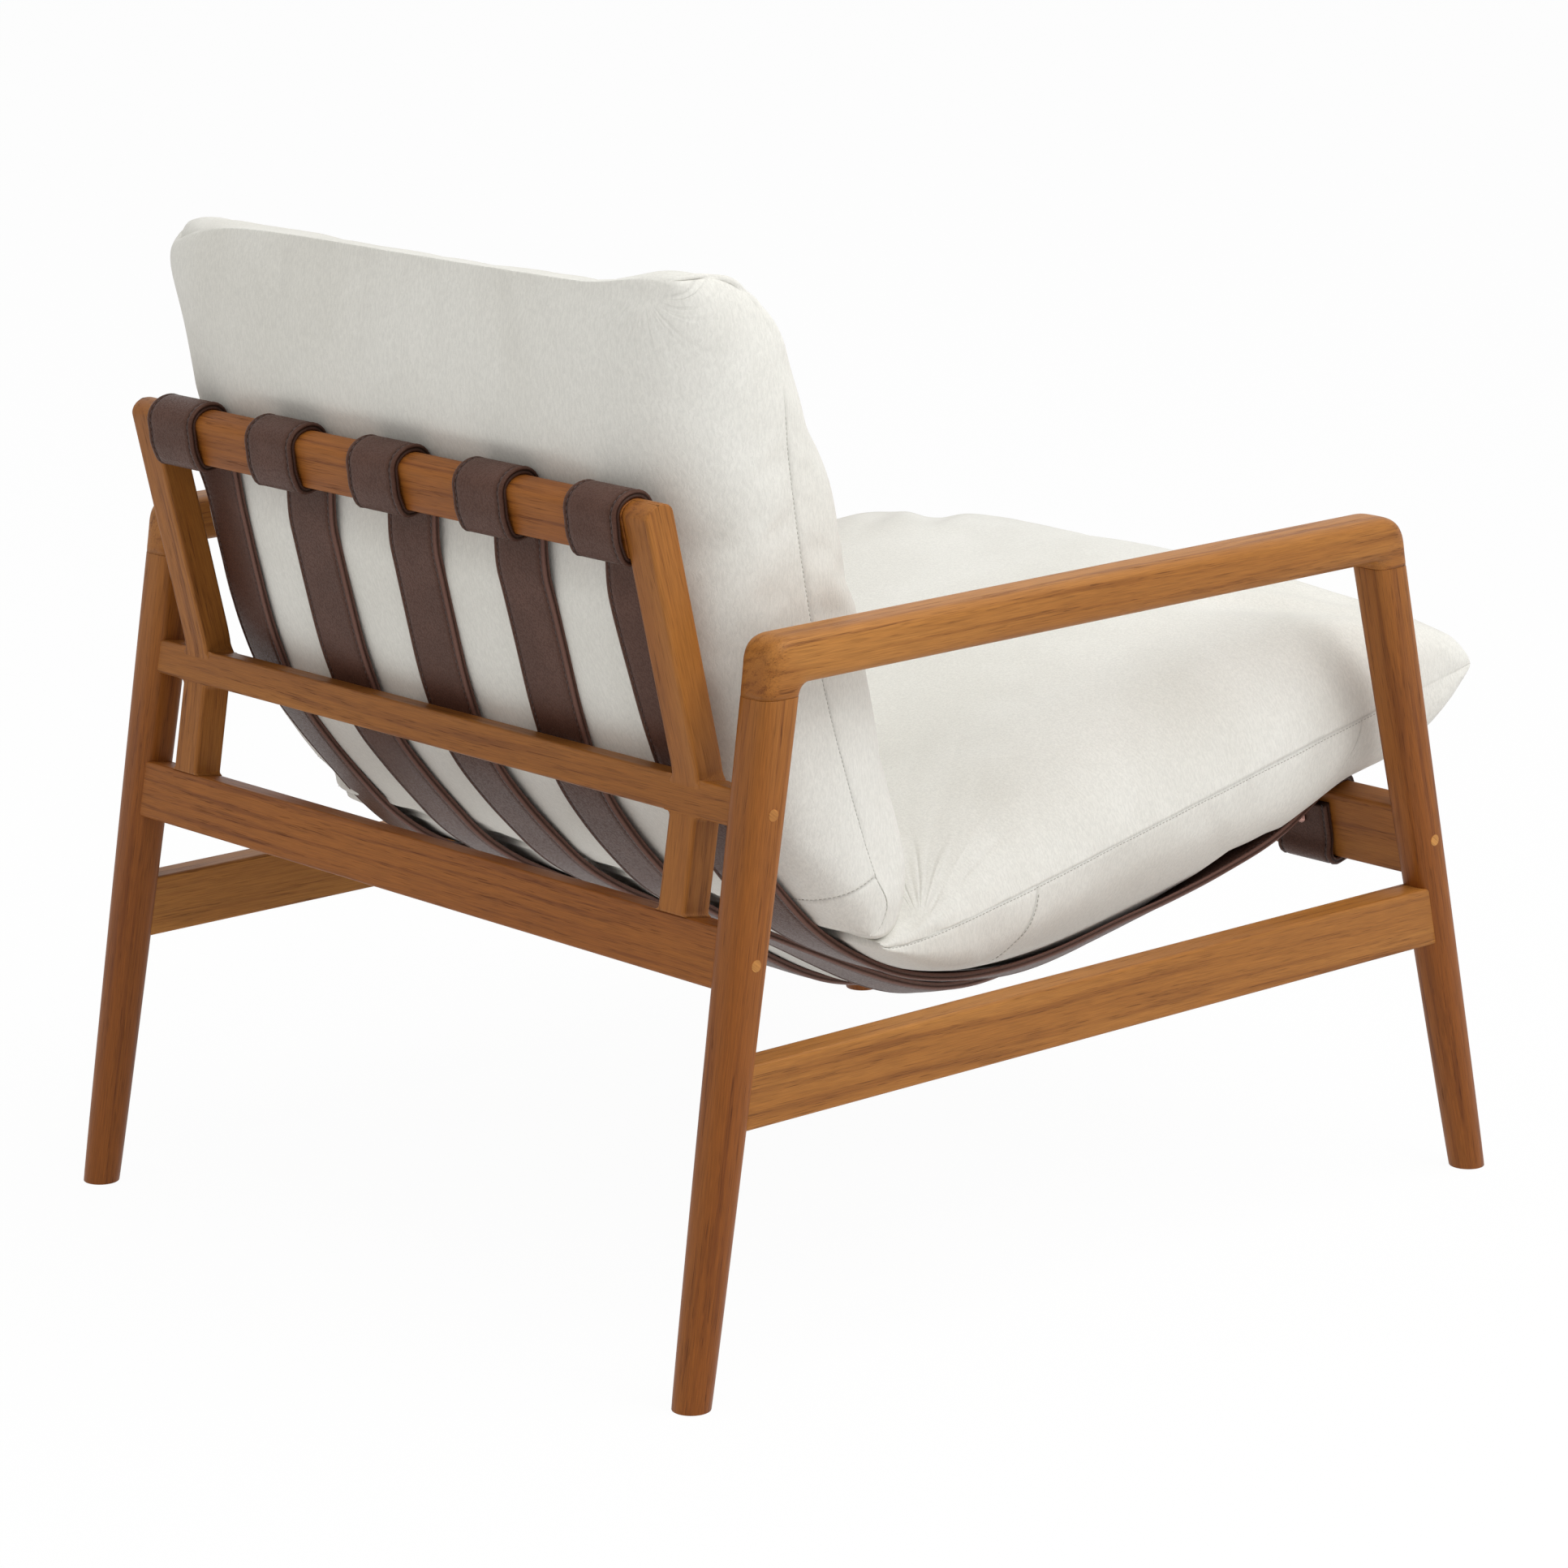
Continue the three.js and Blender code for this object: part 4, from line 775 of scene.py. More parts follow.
strapOff = frameSizes["jointGap"] + strapSizes["thickness"] / 2
frontTop = railSizes["frontAlong"] + railSizes["frontHeight"] / 2
frontBottom = railSizes["frontAlong"] - railSizes["frontHeight"] / 2
runStart = onPlane(reclinePlane, topBottom - strapOff, -(halfStock + strapOff))
runEnd = onPlane(frontPlane, frontTop + strapOff, halfStock)
outerEdge = 2 * strapSizes["pitch"] + strapSizes["width"] / 2


def sagAt(x, y):
    # Extra sag towards the middle of the chair: sin squared along the run, parabola across
    deep = (y - runEnd[0]) / (runStart[0] - runEnd[0]) / strapSizes["deepest"]
    return strapSizes["middleSag"] * np.sin(np.clip(deep, 0, 1) * math.pi) ** 2 * (1 - (x / outerEdge) ** 2)


def edgeRun(count):
    lowest = np.array([runEnd[0], runEnd[1] - strapSizes["sag"]])
    return curveThrough(np.vstack([runStart, mix(lowest, runStart, hangShares), runEnd]), count)


def turnRound(plane, v, w, radius, fromTurn):
    # A quarter turn round a rail's corner, from a number of quarter turns
    angle = np.linspace(fromTurn, fromTurn + 1, 8) * quarter
    return onPlane(plane, v + radius * np.sin(angle), w + radius * np.cos(angle))


def strapRoute():
    # The side-view route of the outer straps' outer edge, spaced evenly, and which part hangs
    r, corner = railSizes["topCorner"] + strapOff, railSizes["topCorner"]
    tuck = strapSizes["thickness"] / 2 + 0.6
    tongue = onPlane(reclinePlane, topBottom - strapOff, tuck - halfStock - strapOff)
    under = turnRound(reclinePlane, topBottom + corner, halfStock - corner, r, -1)
    t = np.linspace(0, math.pi, 40)
    up = crownBase + (railSizes["crown"] + strapOff) * np.sin(t)
    loop = np.vstack([tongue[None], under, onPlane(reclinePlane, up, (halfStock + strapOff) * np.cos(t))])
    edge = 2                       # the front rail's edges, as the leather turns round them
    r, deep = edge + strapOff, halfStock - edge
    front = np.vstack([
        turnRound(frontPlane, frontTop - edge, -deep, r, 1),
        turnRound(frontPlane, frontBottom + edge, -deep, r, 2),
        turnRound(frontPlane, frontBottom + edge, deep, r, 3),
        onPlane(frontPlane, frontTop - strapSizes["flapDrop"], halfStock + strapOff)[None],
    ])
    run = edgeRun(300)
    hang = np.r_[np.zeros(len(loop)), np.ones(len(run)), np.zeros(len(front))]
    both = np.concatenate([np.vstack([loop, run, front]), hang[:, None]], axis=1)
    length = lengthAlong(both[:, :2])
    t = np.linspace(0, length[-1], 420)
    even = sample(t, length, both)
    for _ in range(2):
        even[1:-1, :2] = (even[:-2, :2] + 2 * even[1:-1, :2] + even[2:, :2]) / 4
    return even[:, :2], even[:, 2], t


route, hanging, routeLength = strapRoute()
downRun = routeLength - routeLength[np.argmax(hanging > 0.5)]
flapAlong = routeLength[-1] - routeLength
loopRear = onPlane(reclinePlane, (topBottom + crownBase) / 2, halfStock + strapOff)
loopAlong = routeLength - routeLength[np.argmin(np.linalg.norm(route - loopRear, axis=1))]
cupSizes = {"middle": 10, "farEdge": 15, "nearEdge": 8, "start": 60, "hold": 330, "fade": 120}
waveSizes = {"lift": 1.4, "liftEvery": 47, "sway": 2.2, "swayEvery": 83, "start": 80, "hold": 640,
             "loopBelly": 1.6, "flapBelly": 3.5, "flapAt": 44, "bellySpread": 9}


def cupAt(x, down):
    # How far a run is pushed back by the cushion, down mm below the top rail: the inner
    # straps bow out, the outer edges of the outer straps turn in round its corners
    past = smoothStep((down - cupSizes["hold"]) / cupSizes["fade"])
    along = smoothStep(down / cupSizes["start"]) * (1 - past)
    edge = np.where(np.asarray(x) > 0, cupSizes["farEdge"], cupSizes["nearEdge"])
    return along * (cupSizes["middle"] - edge * (np.abs(x) / outerEdge) ** 4)


def strapSpots(x, raised, drift):
    # Points of a strap: x across the chair, raised squarely off its middle surface
    down, wave = downRun[:, None], waveSizes
    y = route[:, 0][:, None]
    z = route[:, 1][:, None] - hanging[:, None] * sagAt(x, y)
    y = np.broadcast_to(y, z.shape)
    dy, dz = np.gradient(y, axis=0), np.gradient(z, axis=0)
    length = np.hypot(dy, dz)
    inRun = smoothStep(down / wave["start"]) * (1 - smoothStep((down - wave["hold"]) / wave["start"]))
    belly = (wave["loopBelly"] * bell(loopAlong, wave["bellySpread"])
             + wave["flapBelly"] * bell(flapAlong - wave["flapAt"], wave["bellySpread"]))
    lift = wave["lift"] * inRun * np.sin(down / wave["liftEvery"] + drift)
    over = raised + cupAt(x, down) - belly[:, None] + lift
    wander = wave["sway"] * inRun * np.sin(down / wave["swayEvery"] + 2 * drift)
    return np.stack([x + wander, y - dz / length * over, z + dy / length * over], axis=-1)


def strapSection():
    # Two stitched layers: a groove along the stitching, a rounded bead outside it on each
    # layer, and a crease round the edge where the layers meet. The mask is painted shade in the groove and the
    # crease, and darkens the cut edge a little.
    w, t, bead = strapSizes["width"] / 2, strapSizes["thickness"] / 2, strapSizes["bead"]
    upper = np.array([
        (0.0, t, 0), (w * 0.4, t, 0), (w - bead - 5, t, 0), (w - bead - 1.7, t - 0.05, 0.1),
        (w - bead - 0.6, t - 0.55, 0.7), (w - bead, t - 0.75, 1), (w - bead + 0.6, t - 0.45, 0.7),
        (w - bead + 1.3, t + 0.1, 0.1), (w - bead / 2, t + 0.3, 0), (w - 1.2, t - 0.05, 0),
        (w - 0.35, t - 0.8, 0.05), (w, t * 0.52, 0.2), (w - 0.15, t * 0.26, 0.6), (w - 0.65, 0.12, 1)])
    right = np.vstack([upper, upper[::-1] * [1, -1, 1]])
    ring = np.vstack([right, right[::-1][1:-1] * [-1, 1, 1]])
    return ring[:, :2], ring[:, 2]


def stitchRow(at, length, path, up):
    # Places, outward directions and running directions of the stitches along a path
    return [sample(at, length, columns) for columns in (path, up, np.gradient(path, axis=0))]


def makeStitches(name, rows, material, slot, body, pitch, radius):
    # Short rounded stitches laid end to end along rows of points, half sunk in the surface
    spots, normals, tangent = (np.vstack(part) for part in zip(*rows))
    normals, tangent = unit(normals), unit(tangent)
    across = unit(np.cross(normals, tangent))
    around, length = 6, pitch * 0.72
    t = np.array([-0.5, -0.38, 0.0, 0.38, 0.5]) * length
    r = np.array([0.15, 0.8, 1.0, 0.8, 0.15]) * radius
    bow = np.array([-0.5, -0.1, 0.12, -0.1, -0.5]) * radius
    angle = np.linspace(0, 2 * math.pi, around, endpoint=False)
    ring = (spots[:, None, None, :] + tangent[:, None, None, :] * t[None, :, None, None]
            + normals[:, None, None, :] * (bow[None, :, None] + r[None, :, None] * np.sin(angle))[..., None]
            + across[:, None, None, :] * (r[None, :, None] * np.cos(angle))[..., None])
    one, each = ringQuads(len(t), around), len(t) * around
    starts = (np.arange(len(spots)) * each)[:, None]
    faces = (one[None] + starts[..., None]).reshape(-1, 4).tolist()
    faces += (np.arange(around)[::-1][None] + starts).tolist()
    faces += (each - around + np.arange(around)[None] + starts).tolist()
    first = ring[0].reshape(-1, 3)
    if insideOut(first - first.mean(0), halved(one)):
        faces = [face[::-1] for face in faces]
    makePiece(name, ring.reshape(-1, 3), faces, material, slot, body)


def strapStitching(i, x):
    # Rows beside both edges on both faces, along the whole strap
    at = np.linspace(3, routeLength[-1] - 3, int(routeLength[-1] / strapSizes["stitch"]))
    edge = strapSizes["width"] / 2 - strapSizes["bead"]
    deep = strapSizes["thickness"] / 2 - strapSizes["stitchDeep"]
    rows = []
    for place in (np.array([x - edge]), np.array([x + edge])):
        low = strapSpots(place, 0.0, i)[:, 0]
        for face in (-1, 1):
            top = strapSpots(place, face * deep, i)[:, 0]
            rows.append(stitchRow(at, routeLength, top, top - low))
    makeStitches(f"strap_{i}_stitching", rows, thread, "leather", "frame", strapSizes["stitch"],
                 strapSizes["stitchRadius"])


strapRing, strapEdgeAndHollowShade = strapSection()
for i in range(1, 6):
    x = (i - 3) * strapSizes["pitch"]
    grid = strapSpots((x + strapRing[:, 0])[None, :], strapRing[:, 1][None, :], i)
    points, faces = closeTube(grid)
    # Painted shade in the groove and the crease, less of it along the hanging run; the cut ends are dark
    dark = mix(1.0, strapSizes["darkRun"], hanging[:, None]) * strapEdgeAndHollowShade
    dark[[0, -1]] = 1.0
    # Painted light: the side edges of the hanging runs are lightened where they sit in the cushion's shadow
    fromEdge = np.abs(strapRing[:, 0]) - strapSizes["width"] / 2
    outside = smoothStep((fromEdge + strapSizes["rubFrom"]) / strapSizes["rubSoft"])
    rub = np.r_[(hanging[:, None] * outside * (1 - strapEdgeAndHollowShade)).ravel(), 0.0, 0.0]
    makePiece(f"strap_{i}_leather", points, faces, leather, "leather", "frame", [f"strap_{i}"],
              edge=np.r_[dark.ravel(), 1.0, 1.0], rub=rub)
    strapStitching(i, x)
print("straps built")

# Snaps: domed copper-brown caps with a turned rim, their profile in shares of radius and height
snapSizes = {"radius": 5, "height": 3, "around": 48}
snapProfile = np.array([(0.93, 0), (1, 0.10), (1, 0.28), (0.93, 0.46), (0.88, 0.44), (0.80, 0.62), (0.60, 0.85),
                        (0.30, 0.97), (0.04, 1)])
profile = curveThrough(snapProfile * [snapSizes["radius"], snapSizes["height"]], 30)[:, None]
theta = np.linspace(0, 2 * math.pi, snapSizes["around"], endpoint=False)[:, None]
flapFace = halfStock + strapSizes["thickness"] + 2 * frameSizes["jointGap"] - 0.1
snapCentre = onPlane(frontPlane, frontTop - strapSizes["snapDrop"], flapFace)
spokes = np.cos(theta) * [1.0, 0, 0] + np.sin(theta) * np.r_[0, frontPlane["v"]]
for i in range(1, 6):
    centre = np.r_[(i - 3) * strapSizes["pitch"], snapCentre]
    grid = centre + profile[..., 1:] * np.r_[0, frontPlane["w"]] + profile[..., :1] * spokes
    points, faces = closeTube(grid)
    makePiece(f"snap_cap_{i}_copper", points, faces, copper, "snap_copper", "frame", [f"snap_cap_{i}"])
print("snaps built")

# Cushions: a face patch and a rest patch that share the seam all round. Rows run up the back
# cushion, or forward along the seat, by shares t; columns run across, by v from -1 to 1.
backSizes = {
    "halfWidth": 321, "ear": 4, "lowDraw": 7, "highDraw": 26, "round": -10, "drawPower": 16,
    "rows": 92, "columns": 96, "length": 640, "facePower": 6.0, "restPower": 4.4, "faceDepth": 70,
    "restDepth": 90, "fill": 0.75, "farLean": 14, "farDrop": 26, "topSag": 2, "cornerPuff": 5,
    "cornerShift": ((6, 0, 7), (4, 0, -1)), "betweenStraps": 3.0, "folds": (0.9, 0.9), "foldsFrom": 0.0,
    "fan": {"part": "rest", "at": (-0.90, 0.975), "way": -1, "reach": 120, "deep": 0.8},
    "busy": {"face": (1.0, 0.0, 0.0, 1.0), "rest": (0.6, 1.4, 0.0, 0.12)},
    "seamShows": 0.75, "crossSeams": [{"at": 0.098, "curve": 0.0, "reach": 108}],
}
seatSizes = {
    "halfWidth": 320, "ear": 6, "lowDraw": 6, "highDraw": 4, "round": 3, "drawPower": 16,
    "rows": 96, "columns": 96, "length": 665, "facePower": 3.7, "restPower": 5.5, "faceDepth": 90,
    "restDepth": 55, "fill": 0.75, "rearY": 197 + shiftY, "rearZ": 298, "frontY": -464 + shiftY,
    "frontZ": 411, "ease": 0.35, "crown": 133, "crownRise": 0.52, "crownFall": 4.2, "seamDip": 15,
    "cornerPuff": 4, "cornerShift": ((-1, -2, 0), (1, -2, 0)), "betweenStraps": 2.5, "folds": (5.0, 0.0),
    "foldsFrom": 0.05, "farRise": 9, "farRiseAt": 0.78, "farRiseWide": (0.25, 0.11),
    "fan": {"part": "face", "at": (-1.0, 0.09), "way": 1, "reach": 330, "deep": 1.3},
    "busy": {"face": (0.7, 3.2, 0.1, 0.10), "rest": (0.6, 1.6, 0.0, 0.15)},
    "seamShows": 0.845,
    "crossSeams": [{"at": 0.285, "curve": 0.006, "reach": 74}, {"at": 0.768, "curve": 0.013, "reach": 62},
                   {"at": 0.845, "curve": 0.004, "reach": 34}],
}
seamSizes = {"depth": 1.6, "width": 1.7, "near": (0.0, 1.5, 3.2, 5.8), "apart": 2.4, "hidden": 0.85,
             "crossEnd": 8, "stitch": 3.7, "stitchRadius": 0.40}


def strapFace(gap):
    # The straps' front and upper face in side view, a gap off the leather, from the top rail down
    run = edgeRun(300)
    slope = unit(np.gradient(run, axis=0))
    return run + np.stack([slope[:, 1], -slope[:, 0]], axis=1) * (strapSizes["thickness"] / 2 + gap)


def strapFaceY(z):
    # Depth of the straps' front face at a height, for what leans on them
    steep = strapFace(0.4)[:160]
    steep = steep[np.argsort(steep[:, 1])]
    return np.interp(z, steep[:, 1], steep[:, 0])


def strapTopZ(x, y):
    # Height of the straps' upper face at a depth, for what lies on them
    face = strapFace(1.4)
    face = face[np.argsort(face[:, 0])]
    return np.interp(y, face[:, 0], face[:, 1]) - sagAt(x, y)


def offStraps(x):
    # 0 where a strap lies at this place across the chair, 1 midway between two straps
    place = x / strapSizes["pitch"]
    away = np.abs(place - np.clip(np.round(place), -2, 2)) * strapSizes["pitch"]
    return smoothStep((away - strapSizes["width"] / 2) / 24)


def swellAt(v, power):
    # A superellipse's height: (1 - |v|^power)^(1/power)
    return np.clip(1 - np.abs(v) ** power, 0, 1) ** (1 / power)


def placesAlong(count, length, marks):
    # Even shares of a length, with a few more beside each mark, where a seam's groove needs them
    even = np.linspace(0, 1, count)
    near = [mark + way * r / length for mark in marks for r in seamSizes["near"] for way in (-1, 1)]
    near = np.unique(np.clip(near, 0, 1))
    clear = np.abs(even[:, None] - near[None, :]).min(axis=1) > seamSizes["apart"] / length
    return np.sort(np.r_[even[clear], near])


def columnMap(sizes):
    # v against the length over the cushion's side-to-side profile, the mean of both patches
    k = np.linspace(0, 1, 6001)
    turned = math.pi * k**3 * (10 - 15 * k + 6 * k * k)
    v = -squaredCircle(turned, max(sizes["facePower"], sizes["restPower"]))[0]
    length = np.zeros(len(k))
    for part in ("face", "rest"):
        rise = sizes[part + "Depth"] * swellAt(v, sizes[part + "Power"])
        length += lengthAlong(np.stack([sizes["halfWidth"] * v, rise], axis=1)) / 2
    return length, v


def cornerRound(sizes, t, v):
    # The far end's border draws back at its corners, to round them
    return sizes["round"] * np.abs(v) ** 12 * t**14


def lineAt(points, t):
    # A curve through points in side view, at shares t of its length
    return sample(t, np.linspace(0, 1, 900), curveThrough(points, 900))


def halfWidthAt(sizes, t):
    draw = sizes["lowDraw"] * (1 - t) ** 22 + sizes["highDraw"] * t ** sizes["drawPower"]
    return sizes["halfWidth"] + sizes["ear"] * np.abs(2 * t - 1) ** 4 - draw


# The back cushion in side view, y and height: the middle of its front, and its side seam
backFront = [(206, 303), (194, 291), (174, 289), (155, 303), (144, 328), (146, 360), (160, 412), (177, 487),
             (190, 547), (201, 579), (210, 607), (222, 642), (242, 679), (263, 719), (290, 764), (312, 785),
             (336, 796), (362, 799), (384, 797)]
backSeam = [(206, 303), (195, 309), (190, 322), (202, 348), (213, 376), (233, 434), (253, 497), (267, 553),
            (279, 614), (289, 675), (294, 722), (303, 757), (322, 783), (350, 797), (384, 797)]
backLean = [(5, 632), (11, 662), (16, 712), (18, 755), (14, 784)]     # behind the straps' top, and height


def backShape(part, t, v):
    z = np.linspace(314, 604, 11)
    lean = np.stack([strapFaceY(z) + cupAt(0, runStart[1] - z), z], axis=1)
    above = [(lean[-1, 0] + past, height) for past, height in backLean] + [(384 + shiftY, 797)]
    rear = np.vstack([[(206 + shiftY, 303), (222 + shiftY, 301)], lean, above])
    seam = lineAt(np.array(backSeam) + [shiftY, 0], t)
    middle = lineAt(np.array(backFront) + [shiftY, 0] if part == "face" else rear, t)
    spot = mix(seam, middle, swellAt(v, backSizes[part + "Power"])[..., None])
    farCorner = np.clip(v, 0, 1) ** 5 * t**8      # the far top corner leans forward and droops
    spot = spot - farCorner[..., None] * [backSizes["farLean"], backSizes["farDrop"]]
    spot[..., 1] -= backSizes["topSag"] * (1 - np.abs(v) ** 2.2) * smoothStep((t - 0.72) / 0.25)
    spot[..., 0] += cornerRound(backSizes, t, v)
    return acrossChair(halfWidthAt(backSizes, t) * v, spot)


def seatShape(part, t, v):
    sizes = seatSizes
    share = mix(t, (1 - np.cos(math.pi * t)) / 2, sizes["ease"])
    x = halfWidthAt(sizes, t) * v
    y = mix(sizes["rearY"], sizes["frontY"], share) + cornerRound(sizes, t, v)
    seamZ = mix(sizes["rearZ"], sizes["frontZ"], share) - sizes["seamDip"] * np.sin(math.pi * share**0.4)
    swell = swellAt(v, sizes[part + "Power"])
    if part == "face":
        full = share ** sizes["crownRise"] * np.sqrt(1 - share ** sizes["crownFall"])
        past = share - sizes["farRiseAt"]
        risen = bell(past, np.where(past > 0, sizes["farRiseWide"][1], sizes["farRiseWide"][0]))
        farRise = sizes["farRise"] * risen * smoothStep((v - 0.2) / 0.5) * smoothStep((1 - share) / 0.1)
        z = seamZ + swell * np.maximum(sizes["crown"] * full + farRise, 3 * np.sin(math.pi * share) ** 0.5)
    else:      # down on the straps, and free in front of the front rail
        edgeY = runEnd[0]
        edgeZ = strapTopZ(x, np.full_like(x, edgeY))
        past = np.clip((edgeY - y) / (edgeY - sizes["frontY"]), 0, 1)
        free = mix(edgeZ, sizes["frontZ"] - 2, past**2.1)
        overRail = edgeZ + 0.5 + (edgeY - y) * frameSizes["frontRake"]
        floor = np.where(past > 0, np.maximum(free, overRail), strapTopZ(x, y))
        z = seamZ - np.maximum(seamZ - floor, 0.6 * np.sin(math.pi * share)) * swell
    return np.stack([x, y, z], axis=-1)


def patchNormals(patch, centre):
    normal = unit(np.cross(np.gradient(patch, axis=0), np.gradient(patch, axis=1)))
    return normal if np.sum(normal * (patch - centre)) > 0 else -normal


borders = (np.s_[0, :], np.s_[-1, :], np.s_[:, 0], np.s_[:, -1])


def twoPatches(face, rest):
    # One closed skin of both patches; the rest patch takes its border from the face patch
    rows, cols = face.shape[:2]
    faceIndex = np.arange(rows * cols).reshape(rows, cols)
    restIndex = np.full((rows, cols), -1)
    restIndex[1:-1, 1:-1] = rows * cols + np.arange((rows - 2) * (cols - 2)).reshape(rows - 2, cols - 2)
    for border in borders:
        restIndex[border] = faceIndex[border]
    points = np.vstack([face.reshape(-1, 3), rest[1:-1, 1:-1].reshape(-1, 3)])
    faces = np.vstack([gridQuads(faceIndex), gridQuads(restIndex)[:, ::-1]])
    if insideOut(points, halved(faces)):
        faces = faces[:, ::-1]
    return points, faces.tolist(), faceIndex, restIndex


clothSim = {"grid": 60, "frames": 16, "hold": 0.9, "cap": 9.0}
fabricSettings = {
    "vertex_group_mass": "held", "pin_stiffness": 4.0, "quality": 6, "mass": 0.25, "air_damping": 4.0,
    "tension_stiffness": 20.0, "compression_stiffness": 20.0, "shear_stiffness": 6.0, "bending_stiffness": 1.2,
    "shrink_min": -0.008, "use_pressure": True, "uniform_pressure_force": 3.0,
}


def puffCloth(name, face, rest):
    # Cloth filled from inside and held along its seams, with a little spare cloth; how far a
    # point may move is capped. The moves of both patches come back.
    scene = bpy.context.scene
    points, faces, faceIndex, restIndex = twoPatches(face, rest)
    mesh = bpy.data.meshes.new(name + "_draft")
    mesh.from_pydata((points * metres).tolist(), [], faces)
    piece = addObject(name + "_draft", mesh)
    held = np.unique(np.concatenate([faceIndex[border] for border in borders]))
    piece.vertex_groups.new(name="held").add(held.tolist(), clothSim["hold"], "REPLACE")
    modifier = piece.modifiers.new("puff", "CLOTH")
    for key, value in fabricSettings.items():
        setattr(modifier.settings, key, value)
    modifier.settings.effector_weights.gravity = 0.0
    modifier.collision_settings.use_collision = False
    modifier.collision_settings.use_self_collision = False
    modifier.point_cache.frame_start, modifier.point_cache.frame_end = 1, clothSim["frames"]
    for number in range(1, clothSim["frames"] + 1):
        scene.frame_set(number)
    ready = piece.evaluated_get(bpy.context.evaluated_depsgraph_get())
    moved = np.empty(len(points) * 3)
    ready.data.vertices.foreach_get("co", moved)
    moved = moved.reshape(-1, 3) / metres - points
    bpy.data.objects.remove(piece)
    bpy.data.meshes.remove(mesh)
    scene.frame_set(1)
    far = np.linalg.norm(moved, axis=1, keepdims=True)
    moved *= clothSim["cap"] * np.tanh(far / clothSim["cap"]) / np.maximum(far, 1e-6)
    print(name, "simulated, farthest move", round(float(np.linalg.norm(moved, axis=1).max()), 1), "mm")
    return {"face": moved[faceIndex], "rest": moved[restIndex]}


def puffPatches(name, shape, patches, t, share, columns):
    # The cloth's moves on a coarse grid, spread over the patches' own rows and columns
    even = np.linspace(0, 1, clothSim["grid"])
    coarseT, coarseV = np.meshgrid(even, np.interp(even * columns[0][-1], *columns), indexing="ij")
    moves = puffCloth(name, shape("face", coarseT, coarseV), shape("rest", coarseT, coarseV))
    rows, over = (np.maximum(0, 1 - np.abs(at - even[None, :]) * (len(even) - 1)) for at in (t, share.T))
    return {part: patches[part] + np.einsum("ri,ijk,cj->rck", rows, moves[part], over) for part in patches}


pucker = {"count": 46, "from": (0.03, 0.97), "slant": 0.35, "reach": (16, 60), "wide": (3.5, 8.0),
          "deep": (0.1, 0.55), "farShare": 0.4, "fade": 1.3, "offSeam": 2.0}
fold = {"count": 5, "angles": (0.25, 1.35), "scatter": 0.05, "wide": (0.08, 0.12), "reach": (120, 240),
        "bend": 0.0012, "fade": 0.8}
dent = {"count": 9, "waves": 6, "deep": 0.55, "fade": 14}
corners = {"from": (0.74, 0.68), "over": (0.2, 0.26)}


def seamPuckers(sizes, t, inward, rng, part):
    # Creases that run from the side seams into a patch: each a soft trough across the seam's
    # direction that fades with distance from it
    amount = np.zeros(np.broadcast(t, inward).shape)
    least, more, busiest, spread = sizes["busy"][part]
    for away, share in ((inward, 1.0), (inward[:, ::-1], pucker["farShare"])):
        for _ in range(pucker["count"]):
            at = rng.uniform(*pucker["from"])
            slant, reach = rng.normal(0, pucker["slant"]), rng.uniform(*pucker["reach"])
            wide, deep = rng.uniform(*pucker["wide"]), rng.uniform(*pucker["deep"])
            deep *= share * (least + more * bell(at - busiest, spread))
            trough = bell((t - at) * sizes["length"] - slant * away, wide)
            fade = np.clip(1 - away / reach, 0, 1) ** pucker["fade"]
            amount += deep * trough * fade * (1 - np.exp(-away / pucker["offSeam"]))
    return amount


def cornerFolds(sizes, t, v, rng, part):
    # Creases that fan out of the low corners of the face
    amount = np.zeros(np.broadcast(t, v).shape)
    for side, deep in zip((-1, 1), sizes["folds"]) if part == "face" else ():
        out, up = (1 - side * v) * sizes["halfWidth"], (t - sizes["foldsFrom"]) * sizes["length"]
        angle, far = np.arctan2(up, out), np.hypot(up, out)
        middles = np.linspace(*fold["angles"], fold["count"]) + rng.normal(0, fold["scatter"], fold["count"])
        for middle in middles:
            wide, reach = rng.uniform(*fold["wide"]), rng.uniform(*fold["reach"])
            trough = bell(angle - middle - fold["bend"] * far, wide)
            fade = smoothStep((far - 8) / 16) * np.clip(1 - far / reach, 0, 1) ** fold["fade"]
            amount += deep * trough * fade
    return amount


def creaseFan(sizes, t, v, part):
    # Fine creases fan out from one place: the angle round it, the distance from it, and how
    # deep they are there. The cloth's material draws them.
    fan = sizes["fan"]
    out = (v - fan["at"][0]) * sizes["halfWidth"]
    up = (t - fan["at"][1]) * sizes["length"] * fan["way"]
    far = np.hypot(out, up)
    deep = smoothStep((far - 12) / 20) * np.clip(1 - far / fan["reach"], 0, 1) * smoothStep(up / 14)
    return np.stack([np.arctan2(up, out), far * metres, deep * fan["deep"] * (part == fan["part"])], axis=-1)


def softDents(t, share, rng):
    # A few slow waves laid over each other
    amount = np.zeros(np.broadcast(t, share).shape)
    for _ in range(dent["count"]):
        up, over = rng.uniform(-dent["waves"], dent["waves"], 2)
        amount += np.sin(2 * math.pi * (up * t + over * share) + rng.uniform(0, 2 * math.pi))
    return amount * dent["deep"] / 3


